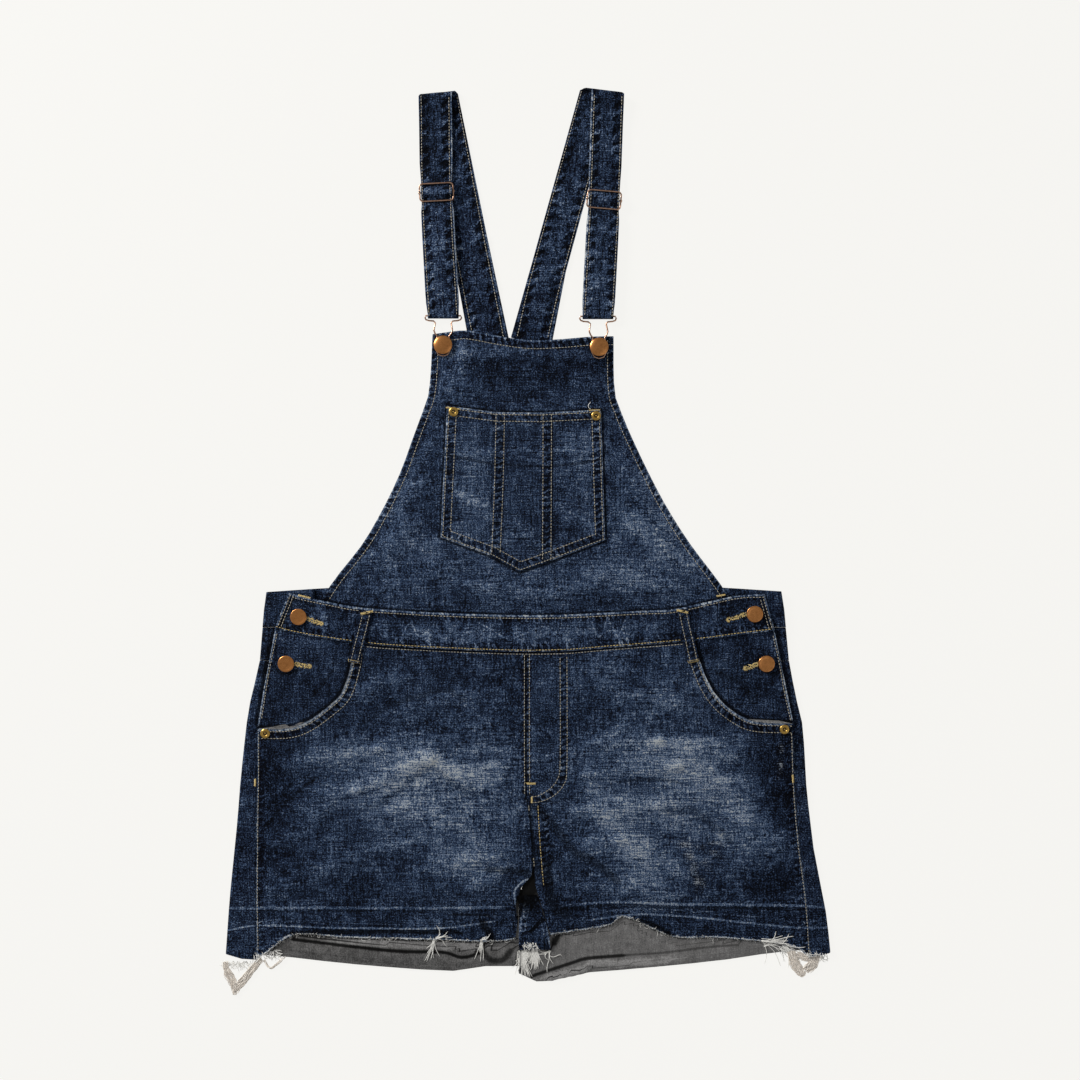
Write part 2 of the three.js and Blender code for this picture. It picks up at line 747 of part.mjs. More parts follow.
const BIB_POCKET = {
  top: [
    { x: -81, y: 136 },
    { x: -31.5, y: 129.5 },
    { x: 11.5, y: 129 },
    { x: 72.5, y: 132 },
  ],
  bottom: [
    { x: -87.5, y: 5 },
    { x: -37.5, y: -13.5 },
    { x: -8.5, y: -29.5 },
    { x: 22.5, y: -18.5 },
    { x: 76.5, y: 2 },
  ],
  panels: [
    { name: 'left', low: -87.5, high: -81, lowTo: -38.5, highTo: -33.5 },
    { name: 'middle', low: -38.2, high: -33.2, lowTo: 23.6, highTo: 24 },
    { name: 'right', low: 23.9, high: 24.3, lowTo: 76.5, highTo: 72.5 },
  ],
  hem: 9,
  seamBand: 10,
};

function bibPocketPanel({ name, low, high, lowTo, highTo }, bib) {
  const lowEdge = (x) => ({ x, y: lookUp(BIB_POCKET.bottom, 'x', x, 'y') });
  const highEdge = (x) => ({ x, y: lookUp(BIB_POCKET.top, 'x', x, 'y') });
  const place = patch({
    left: smooth([lowEdge(low), highEdge(high)]),
    right: smooth([lowEdge(lowTo), highEdge(highTo)]),
    bottom: (t) => lowEdge(mix(low, lowTo, t)),
    top: (t) => highEdge(mix(high, highTo, t)),
  });
  const band = BIB_POCKET.seamBand / (lowTo - low);
  const hem = 1 - BIB_POCKET.hem / 140;
  const columns = name === 'middle' ? [0, band, band + 0.02, 0.47, 1 - band - 0.02, 1 - band, 1] : steps(4);
  return layer({
    place,
    rows: [...steps(9).map((t) => t * (hem - 0.01)), hem, 1],
    columns: () => columns,
    under: (x, y) => heightOver([bib], x, y) + GAP + 0.1,
    raised: ({ u, v }) => {
      const onSeam = name === 'middle' && (u <= band || u >= 1 - band);
      return v >= hem || onSeam ? HEM_RAISE : 0;
    },
  });
}

// Belt loops lie over the waistband and run down onto the leg

const BELT_LOOPS = {
  left: { x: -161, y: -69.5, toX: -173.5, toY: -119.5 },
  right: { x: 153.5, y: -68.5, toX: 164.5, toY: -118.5 },
};

function beltLoop({ x, y, toX, toY }, below) {
  const run = Math.hypot(toX - x, toY - y);
  const across = { x: (toY - y) / run, y: -(toX - x) / run };
  const place = (u, v) => ({
    x: mix(toX, x, v) + across.x * LOOP_WIDTH * (u - 0.5),
    y: mix(toY, y, v) + across.y * LOOP_WIDTH * (u - 0.5),
  });
  const reach = 3;
  const around = [-reach, 0, reach];
  const under = (px, py) => GAP + Math.max(...around.flatMap((dx) => around.map((dy) => (
    heightOver(below, px + dx, py + dy)))));
  return layer({ place, rows: steps(14), columns: () => steps(2), under, thick: 1.4 });
}

// Straps: from the back bib over the shoulder, through the slider and round the buckle

const STRAP_HALF = STRAP / 2;
const ON_FLOOR = STRAP_HALF;
const OVER_BACK = STRAP + GAP + STRAP_HALF + 0.1;
const OVER_BAR = OVER_BACK + STRAP + 2 * GAP + 2 * WIRE;
const TOP_LAYER = OVER_BACK + STRAP + GAP + 0.1;
const SHOULDER_ROLL = 2.9;
const BUCKLE_ROLL = WIRE + GAP + STRAP_HALF;

const STRAPS = {
  left: {
    back: [
      { x: -39, y: 199.2, wide: 40, turn: 11 },
      { x: -60, y: 305, wide: 37, turn: 11.3 },
      { x: -87, y: 444.7, wide: 34, turn: 11 },
    ],
    front: [
      { x: -92.8, y: 444.7 },
      { x: -91.6, y: 349 },
      { x: -84.9, y: 226 },
    ],
    wide: 33,
    turn: 2,
    slider: { y: 349, tilt: 3 },
  },
  right: {
    back: [
      { x: 2.6, y: 199.2, wide: 41.5, turn: -15 },
      { x: 20.5, y: 274.5, wide: 35, turn: -15 },
      { x: 68, y: 447.2, wide: 34, turn: -15 },
    ],
    front: [
      { x: 79.2, y: 447.2 },
      { x: 75.5, y: 341.5 },
      { x: 69.4, y: 225.4 },
    ],
    wide: 32.5,
    turn: -2.5,
    slider: { y: 341.5, tilt: -5 },
  },
};
const SLIDER = { width: 35, height: 17.5, corner: 3.2, knob: 1.3, knobLength: 2.2 };
const STRAP_IN_METAL = SLIDER.width - 4 * WIRE - 2 * GAP - 0.6; // the strap is pinched in its slider

/** Stations of a strap: centre, width and turn of its cross-section. */
function strapStations({ back, front, wide, turn, slider }) {
  const stations = [];
  const shoulder = front[0];
  const hookY = front[front.length - 1].y;
  for (let k = 1; k < back.length; k += 1) {
    const a = back[k - 1];
    const b = back[k];
    const count = Math.ceil((b.y - a.y) / 21);
    for (const t of steps(count).slice(k === 1 ? 0 : 1)) {
      stations.push({
        x: mix(a.x, b.x, t),
        y: mix(a.y, b.y, t),
        z: ON_FLOOR,
        wide: mix(a.wide, b.wide, t),
        turn: mix(a.turn, b.turn, t),
      });
    }
  }
  const last = back[back.length - 1];
  for (const t of steps(6).slice(1)) {
    stations.push({
      x: mix(last.x, shoulder.x, t),
      y: last.y + SHOULDER_ROLL * Math.sin(Math.PI * t),
      z: ON_FLOOR + SHOULDER_ROLL * (1 - Math.cos(Math.PI * t)),
      wide: mix(last.wide, wide, t),
      turn: mix(last.turn, turn, t),
    });
  }
  const wireAt = SLIDER.height / 2;
  const heights = [
    { y: shoulder.y, z: ON_FLOOR + 2 * SHOULDER_ROLL },
    { y: shoulder.y - 30, z: OVER_BACK + 0.4 },
    { y: slider.y + wireAt + 3, z: OVER_BACK },
    { y: slider.y + wireAt - 2, z: OVER_BACK },
    { y: slider.y + 1.6, z: OVER_BAR },
    { y: slider.y - 1.6, z: OVER_BAR },
    { y: slider.y - wireAt + 2, z: OVER_BACK },
    { y: slider.y - wireAt - 1.5, z: OVER_BACK },
    { y: slider.y - wireAt - 11, z: TOP_LAYER },
    { y: hookY, z: TOP_LAYER },
  ];
  const frontAt = (y, z) => {
    const atSlider = 1 - ease((Math.abs(y - slider.y) - wireAt) / 16);
    const atBuckle = 1 - ease((y - hookY) / 14);
    return {
      x: lookUp(front, 'y', y, 'x'),
      y,
      z,
      wide: mix(wide, STRAP_IN_METAL, Math.max(atSlider, atBuckle)),
      turn: mix(mix(turn, slider.tilt, atSlider), 0, atBuckle),
    };
  };
  for (let k = 1; k < heights.length; k += 1) {
    const a = heights[k - 1];
    const b = heights[k];
    const count = Math.max(a.z === b.z ? 1 : 3, Math.ceil((a.y - b.y) / 24));
    for (const t of steps(count).slice(1)) {
      stations.push(frontAt(mix(a.y, b.y, t), mix(a.z, b.z, ease(t))));
    }
  }
  const rollZ = TOP_LAYER - BUCKLE_ROLL;
  for (const t of steps(6).slice(1)) {
    const y = hookY - BUCKLE_ROLL * Math.sin(Math.PI * t);
    stations.push(frontAt(y, rollZ + BUCKLE_ROLL * Math.cos(Math.PI * t)));
  }
  const returnEnd = slider.y - wireAt - 13;
  const start = hookY + 13;
  stations.push(frontAt(hookY + 7, mix(rollZ - BUCKLE_ROLL, OVER_BACK, 0.55)));
  stations.push(frontAt(start, OVER_BACK));
  for (const t of steps(3).slice(1)) {
    stations.push(frontAt(mix(start, returnEnd, t), OVER_BACK));
  }
  return stations;
}

/** A band of cloth that follows its stations, square to its own path. */
function ribbon(stations, thick) {
  const upper = [];
  const lower = [];
  const centres = stations.map(({ x, y, z }) => new THREE.Vector3(x, y, z));
  stations.forEach(({ wide, turn }, k) => {
    const before = centres[Math.max(k - 1, 0)];
    const after = centres[Math.min(k + 1, centres.length - 1)];
    const run = after.clone().sub(before).normalize();
    const angle = THREE.MathUtils.degToRad(turn);
    const across = new THREE.Vector3(Math.cos(angle), Math.sin(angle), 0);
    const face = new THREE.Vector3().crossVectors(across, run).normalize();
    const spot = (u, lift) => centres[k].clone()
      .addScaledVector(across, wide * (u - 0.5))
      .addScaledVector(face, lift);
    upper.push([0, 1].map((u) => spot(u, thick / 2)));
    lower.push([0, 1].map((u) => spot(u, -thick / 2)));
  });
  return wall(upper, lower);
}

// Metal parts

/** A round wire along a closed path of points. */
function closedWire(points, radius, sides = 6) {
  const ring = [];
  const faces = [];
  const count = points.length;
  points.forEach((point, k) => {
    const before = points[(k + count - 1) % count];
    const after = points[(k + 1) % count];
    const run = after.clone().sub(before).normalize();
    const side = new THREE.Vector3(0, 0, 1).cross(run).normalize();
    const lift = run.clone().cross(side).normalize();
    for (let n = 0; n < sides; n += 1) {
      const angle = (2 * Math.PI * n) / sides;
      ring.push(point.clone()
        .addScaledVector(side, radius * Math.cos(angle))
        .addScaledVector(lift, radius * Math.sin(angle)));
    }
  });
  for (let k = 0; k < count; k += 1) {
    for (let n = 0; n < sides; n += 1) {
      const [a, b] = [k * sides + n, k * sides + ((n + 1) % sides)];
      const shift = (((k + 1) % count) - k) * sides;
      faces.push(a, b, b + shift, a, b + shift, a + shift);
    }
  }
  return facingOut(ring, faces);
}

function toManifold(geometry) {
  const plain = geometry.clone();
  for (const name of Object.keys(plain.attributes)) {
    if (name !== 'position') {
      plain.deleteAttribute(name);
    }
  }
  const merged = mergeVertices(plain, 1e-4);
  return new wasm.Manifold(new wasm.Mesh({
    numProp: 3,
    vertProperties: new Float32Array(merged.getAttribute('position').array),
    triVerts: new Uint32Array(merged.getIndex().array),
  }));
}

function fromManifold(solid) {
  const { vertProperties, triVerts } = solid.getMesh();
  const geometry = new THREE.BufferGeometry();
  geometry.setAttribute('position', new THREE.BufferAttribute(vertProperties, 3));
  geometry.setIndex(new THREE.BufferAttribute(triVerts, 1));
  return geometry;
}

function united(geometries) {
  const [first, ...rest] = geometries.map(toManifold);
  return fromManifold(rest.reduce((sum, solid) => sum.add(solid), first));
}

/** Wire frame with round corners, its centre bar and the two bar ends. */
function slider(x, { y, tilt }) {
  const z = OVER_BACK + STRAP_HALF + GAP + WIRE;
  const halfWidth = SLIDER.width / 2 - WIRE;
  const halfHeight = SLIDER.height / 2;
  const corners = [[1, 1, 0], [-1, 1, 90], [-1, -1, 180], [1, -1, 270]];
  const path = corners.flatMap(([sx, sy, start]) => steps(3).map((t) => {
    const angle = THREE.MathUtils.degToRad(start + 90 * t);
    return new THREE.Vector3(
      sx * (halfWidth - SLIDER.corner) + SLIDER.corner * Math.cos(angle),
      sy * (halfHeight - SLIDER.corner) + SLIDER.corner * Math.sin(angle),
      0,
    );
  }));
  const bar = new THREE.CylinderGeometry(WIRE, WIRE, 2 * halfWidth, 8).rotateZ(Math.PI / 2);
  const knobs = [-1, 1].map((end) => (
    new THREE.CylinderGeometry(SLIDER.knob, SLIDER.knob, SLIDER.knobLength, 8)
      .rotateZ(Math.PI / 2)
      .translate(end * (halfWidth + 0.2), 0, 0)));
  return united([closedWire(path, WIRE), bar, ...knobs])
    .rotateZ(THREE.MathUtils.degToRad(tilt))
    .translate(x, y, z);
}

// Half of the buckle's wire, seen from above, from its bar to the ring round the button
const BUCKLE_HALF = [
  { dx: 17.4, rise: 1 },
  { dx: 18.2, rise: 0.93 },
  { dx: 17.3, rise: 0.868 },
  { dx: 14.5, rise: 0.835 },
  { dx: 9.6, rise: 0.82 },
  { dx: 7.9, rise: 0.76 },
  { dx: 8.6, rise: 0.63 },
  { dx: 9.2, rise: 0.5 },
  { dx: 8, rise: 0.39 },
  { dx: 5.9, rise: 0.3 },
  { dx: 6.6, rise: 0.16 },
  { dx: 7.4, rise: 0 },
  { dx: 7.2, rise: -0.16 },
  { dx: 4.6, rise: -0.32 },
];
const BUCKLE_RING_END = -0.37;

function buckle({ bar, button, bib }) {
  const spot = ({ dx, rise }) => {
    const x = mix(button.x, bar.x, Math.max(rise, 0)) + dx;
    const y = mix(button.y, bar.y, rise);
    return { x, y };
  };
  const overBib = seatOver([bib], button.x, button.y, 12) + GAP + WIRE;
  const level = (rise) => mix(bar.z, overBib, ease((0.86 - rise) / 0.4));
  const right = BUCKLE_HALF.map((row) => ({ ...spot(row), z: level(row.rise) }));
  const left = BUCKLE_HALF.map((row) => ({ ...spot({ ...row, dx: -row.dx }), z: level(row.rise) }));
  const end = { ...spot({ dx: 0, rise: BUCKLE_RING_END }), z: overBib };
  const path = [...right, end, ...left.reverse()].map(({ x, y, z }) => new THREE.Vector3(x, y, z));
  return { geometry: closedWire(path, WIRE), top: overBib + WIRE };
}

/** A round part turned about its own axis from a profile of radius and height. */
function turned(profile, segments, x, y, z) {
  const points = profile.map(({ r, h }) => new THREE.Vector2(r, h));
  const plain = new THREE.LatheGeometry(points, segments);
  plain.deleteAttribute('normal');
  plain.deleteAttribute('uv');
  return mergeVertices(plain.rotateX(Math.PI / 2), 1e-4).translate(x, y, z);
}

/** Domed cap on a post that stands on the bib inside the buckle's ring. */
function bibButton(x, y, seat, capBase) {
  const cap = capBase - seat;
  const profile = [
    { r: 0, h: 0 },
    { r: 2.8, h: 0 },
    { r: 2.8, h: cap },
    { r: BIB_BUTTON - 0.4, h: cap },
    { r: BIB_BUTTON, h: cap + 0.7 },
    { r: BIB_BUTTON - 1.6, h: cap + 1.9 },
    { r: BIB_BUTTON * 0.5, h: cap + 2.8 },
    { r: 0, h: cap + 3.1 },
  ];
  return turned(profile, 20, x, y, seat);
}

/** Flat tack button with a rolled rim. */
function sideButton(x, y, seat) {
  const profile = [
    { r: 0, h: 0 },
    { r: SIDE_BUTTON - 0.5, h: 0 },
    { r: SIDE_BUTTON, h: 0.8 },
    { r: SIDE_BUTTON - 0.9, h: 1.9 },
    { r: 0, h: 1.7 },
  ];
  return turned(profile, 18, x, y, seat);
}

/** Rivet with a raised rim round a small hollow. */
function rivet(x, y, seat) {
  const profile = [
    { r: 0, h: 0 },
    { r: RIVET, h: 0 },
    { r: RIVET - 0.4, h: 0.9 },
    { r: RIVET - 2, h: 1.3 },
    { r: RIVET - 3, h: 0.6 },
    { r: 0, h: 0.6 },
  ];
  return turned(profile, 12, x, y, seat);
}

// Frayed threads of the raw hems: strands rooted in a narrow torn strip

const ON_INSIDE = CLOTH + GAP; // height of what lies on the bare inside of the back legs
const FRAYS = {
  fray_left: {
    root: [{ x: -300, y: -412.6 }, { x: -266, y: -413.2 }],
    depth: 6,
    base: GAP,
    strands: 13,
    length: 9,
    lean: -8,
    fan: 40,
    tatters: [
      { x: -303.4, y: -416, toX: -303, toY: -438, wide: 8 },
      { x: -302, y: -434, toX: -292.5, toY: -453.3, wide: 8 },
      { x: -266.5, y: -416, toX: -283, toY: -431, wide: 6 },
      { x: -282, y: -430, toX: -295, toY: -444, wide: 9 },
    ],
  },
  fray_right: {
    root: [{ x: 266, y: -408.6 }, { x: 301.4, y: -410 }],
    depth: 7,
    base: GAP,
    strands: 16,
    length: 12,
    lean: -2,
    fan: 44,
    tatters: [
      { x: 272, y: -414, toX: 268, toY: -427, wide: 6 },
      { x: 300, y: -413, toX: 285, toY: -428, wide: 7 },
    ],
  },
  fray_crotch: {
    root: [{ x: -3, y: -407.3 }, { x: 14, y: -407.3 }],
    depth: 3,
    base: ON_INSIDE,
    strands: 12,
    length: 20,
    lean: 6,
    fan: 26,
    tatters: [{ x: 1, y: -409, toX: 0, toY: -424, wide: 5 }],
  },
  fray_hem: {
    root: [{ x: -99, y: -398.4 }, { x: -83, y: -398.6 }],
    depth: 2,
    base: ON_INSIDE,
    strands: 5,
    length: 17,
    lean: 14,
    fan: 50,
    tatters: [],
  },
};

/** A thin three-sided thread with a slight curl. */
function strand(from, angle, length, curl, level, rise) {
  const at = (t) => new THREE.Vector3(
    from.x + length * t * Math.cos(angle + curl * t),
    from.y + length * t * Math.sin(angle + curl * t),
    level + rise * Math.sin(Math.PI * t),
  );
  const shape = new THREE.Shape();
  const half = 0.45;
  shape.moveTo(half, 0);
  shape.lineTo(-half * 0.5, half * 0.87);
  shape.lineTo(-half * 0.5, -half * 0.87);
  shape.closePath();
  return new THREE.ExtrudeGeometry(shape, {
    steps: 3,
    bevelEnabled: false,
    extrudePath: new THREE.CatmullRomCurve3([0, 0.33, 0.66, 1].map(at)),
  });
}

/** A flat torn strip of cloth between two places. */
function tatter({ x, y, toX, toY, wide }, base) {
  const run = Math.hypot(toX - x, toY - y);
  const across = { x: (toY - y) / run, y: (x - toX) / run };
  const place = (u, v) => ({
    x: mix(x, toX, v) + across.x * (u - 0.5) * mix(wide, wide * 0.45, v),
    y: mix(y, toY, v) + across.y * (u - 0.5) * mix(wide, wide * 0.45, v),
  });
  return layer({ place, rows: steps(2), columns: () => steps(1), under: () => base, thick: CLOTH });
}

function fray({ root, depth, base, strands, length, lean, fan, tatters }) {
  const [left, right] = root;
  const place = (u, v) => ({ x: mix(left.x, right.x, u), y: mix(left.y, right.y, u) - depth * v });
  const backing = layer({
    place,
    rows: steps(1),
    columns: () => steps(4),
    under: () => base,
    thick: CLOTH,
  });
  const level = base + CLOTH / 2;
  const threads = steps(strands - 1).map((t, k) => {
    const from = place(mix(0.04, 0.96, t), k % 2 ? 0.5 : 0.9);
    const spread = lean + fan * (t - 0.5) + 9 * Math.sin(3.7 * k);
    const angle = THREE.MathUtils.degToRad(spread - 90);
    const reach = length * (0.72 + 0.28 * Math.sin(2.3 * k + 1));
    return strand(from, angle, reach, 0.5 * Math.sin(1.9 * k), level, 0.3);
  });
  return united([backing, ...tatters.map((row) => tatter(row, base)), ...threads]);
}

// Assembly

add('back_leg_left', backLeg('left'), DENIM_INSIDE);
add('back_leg_right', united([backLeg('right'), innerTurn()]), DENIM_INSIDE);
add('back_yoke_left', backYoke('left'), DENIM);
add('back_yoke_right', backYoke('right'), DENIM);
add('waistband_back', backWaistband(), DENIM);
add('back_bib', backBib(), DENIM);

const facings = ['left', 'right'].map((side) => add(`pocket_facing_${side}`, pocketFacing(side), DENIM));
const legs = ['left', 'right'].map((side) => add(`front_leg_${side}`, frontLeg(side), DENIM));
const waistband = add('waistband_front', frontWaistband(), DENIM);
const bib = add('front_bib', frontBib(), DENIM).geometry;
const pocket = BIB_POCKET.panels.map((panel) => (
  add(`bib_pocket_${panel.name}`, bibPocketPanel(panel, bib), DENIM).geometry));

const front = [waistband, ...facings, ...legs].map(({ geometry }) => geometry);
for (const side of ['left', 'right']) {
  add(`belt_loop_${side}`, beltLoop(BELT_LOOPS[side], front), DENIM);
}

const BIB_BUTTONS = { left: { x: -85, y: 196.5 }, right: { x: 70.5, y: 194.5 } };
for (const side of ['left', 'right']) {
  const plan = STRAPS[side];
  add(`strap_${side}`, ribbon(strapStations(plan), STRAP), DENIM);
  add(`slider_${side}`, slider(lookUp(plan.front, 'y', plan.slider.y, 'x'), plan.slider), WIRE_METAL);
  const button = BIB_BUTTONS[side];
  const bar = { ...plan.front[plan.front.length - 1], z: TOP_LAYER - BUCKLE_ROLL };
  const hook = buckle({ bar, button, bib });
  add(`buckle_${side}`, hook.geometry, WIRE_METAL);
  const seat = seatOver([bib], button.x, button.y, 3) + GAP;
  add(`bib_button_${side}`, bibButton(button.x, button.y, seat, hook.top + GAP), COPPER);
}

const SIDE_BUTTONS = [
  { name: 'left_upper', x: -228.7, y: -74.3 },
  { name: 'left_lower', x: -241.4, y: -121.1 },
  { name: 'right_upper', x: 225.3, y: -71.5 },
  { name: 'right_lower', x: 237.2, y: -121.1 },
];
for (const { name, x, y } of SIDE_BUTTONS) {
  const seat = seatOver(front, x, y, SIDE_BUTTON) + GAP;
  add(`side_button_${name}`, sideButton(x, y, seat), COPPER);
}

const RIVETS = [
  { name: 'bib_pocket_rivet_left', x: -74.5, y: 130, on: [...pocket, bib] },
  { name: 'bib_pocket_rivet_right', x: 67.5, y: 126, on: [...pocket, bib] },
  { name: 'front_pocket_rivet_left', x: -262, y: -190.4, on: front },
  { name: 'front_pocket_rivet_right', x: 255, y: -186.3, on: front },
];
for (const { name, x, y, on } of RIVETS) {
  add(name, rivet(x, y, seatOver(on, x, y, RIVET) + GAP), BRASS);
}

for (const [name, plan] of Object.entries(FRAYS)) {
  add(name, fray(plan), FRAY);
}

// The origin is on the surface, under the middle of the outline
const outline = new THREE.Box3().setFromObject(overalls);
const middle = outline.getCenter(new THREE.Vector3());
overalls.position.set(-middle.x, -middle.y, -outline.min.z);

export default overalls;
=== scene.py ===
"""Denim short overalls with cut-off legs, laid flat and seen from above."""

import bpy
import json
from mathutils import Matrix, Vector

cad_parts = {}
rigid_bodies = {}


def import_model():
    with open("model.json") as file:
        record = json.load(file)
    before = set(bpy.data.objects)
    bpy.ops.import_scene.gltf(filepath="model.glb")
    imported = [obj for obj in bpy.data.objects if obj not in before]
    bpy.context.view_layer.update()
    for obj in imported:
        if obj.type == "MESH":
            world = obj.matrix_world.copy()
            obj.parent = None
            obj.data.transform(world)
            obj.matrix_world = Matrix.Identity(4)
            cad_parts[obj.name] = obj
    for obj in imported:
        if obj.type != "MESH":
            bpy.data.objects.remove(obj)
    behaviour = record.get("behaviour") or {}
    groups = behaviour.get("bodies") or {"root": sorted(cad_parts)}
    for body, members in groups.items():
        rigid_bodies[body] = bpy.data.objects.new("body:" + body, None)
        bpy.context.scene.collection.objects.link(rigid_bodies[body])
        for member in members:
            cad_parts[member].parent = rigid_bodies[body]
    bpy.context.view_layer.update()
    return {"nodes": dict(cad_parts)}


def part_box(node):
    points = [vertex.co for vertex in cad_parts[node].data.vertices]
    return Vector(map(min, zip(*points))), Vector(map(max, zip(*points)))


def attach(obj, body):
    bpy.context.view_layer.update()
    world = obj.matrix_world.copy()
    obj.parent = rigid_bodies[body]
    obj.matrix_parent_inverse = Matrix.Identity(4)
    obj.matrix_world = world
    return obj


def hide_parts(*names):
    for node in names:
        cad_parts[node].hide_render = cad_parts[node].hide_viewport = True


bl_info = {
    "name": "Denim short overalls",
    "version": (1, 0, 0),
    "blender": (4, 5, 0),
    "location": "3D View > Sidebar > Overalls",
    "description": "Finishes a pair of denim short overalls that lie flat",
    "category": "Add Mesh",
}

import json
import math
from typing import NamedTuple

import bmesh
import bpy
import numpy as np
from bpy.props import FloatProperty, FloatVectorProperty, IntProperty, PointerProperty
from mathutils import Matrix, Vector
from mathutils.bvhtree import BVHTree

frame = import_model()
NODES = frame["nodes"]
MM = 0.001

# Guide lines in millimetres. A positive offset lies on a line's left, seen along its run.

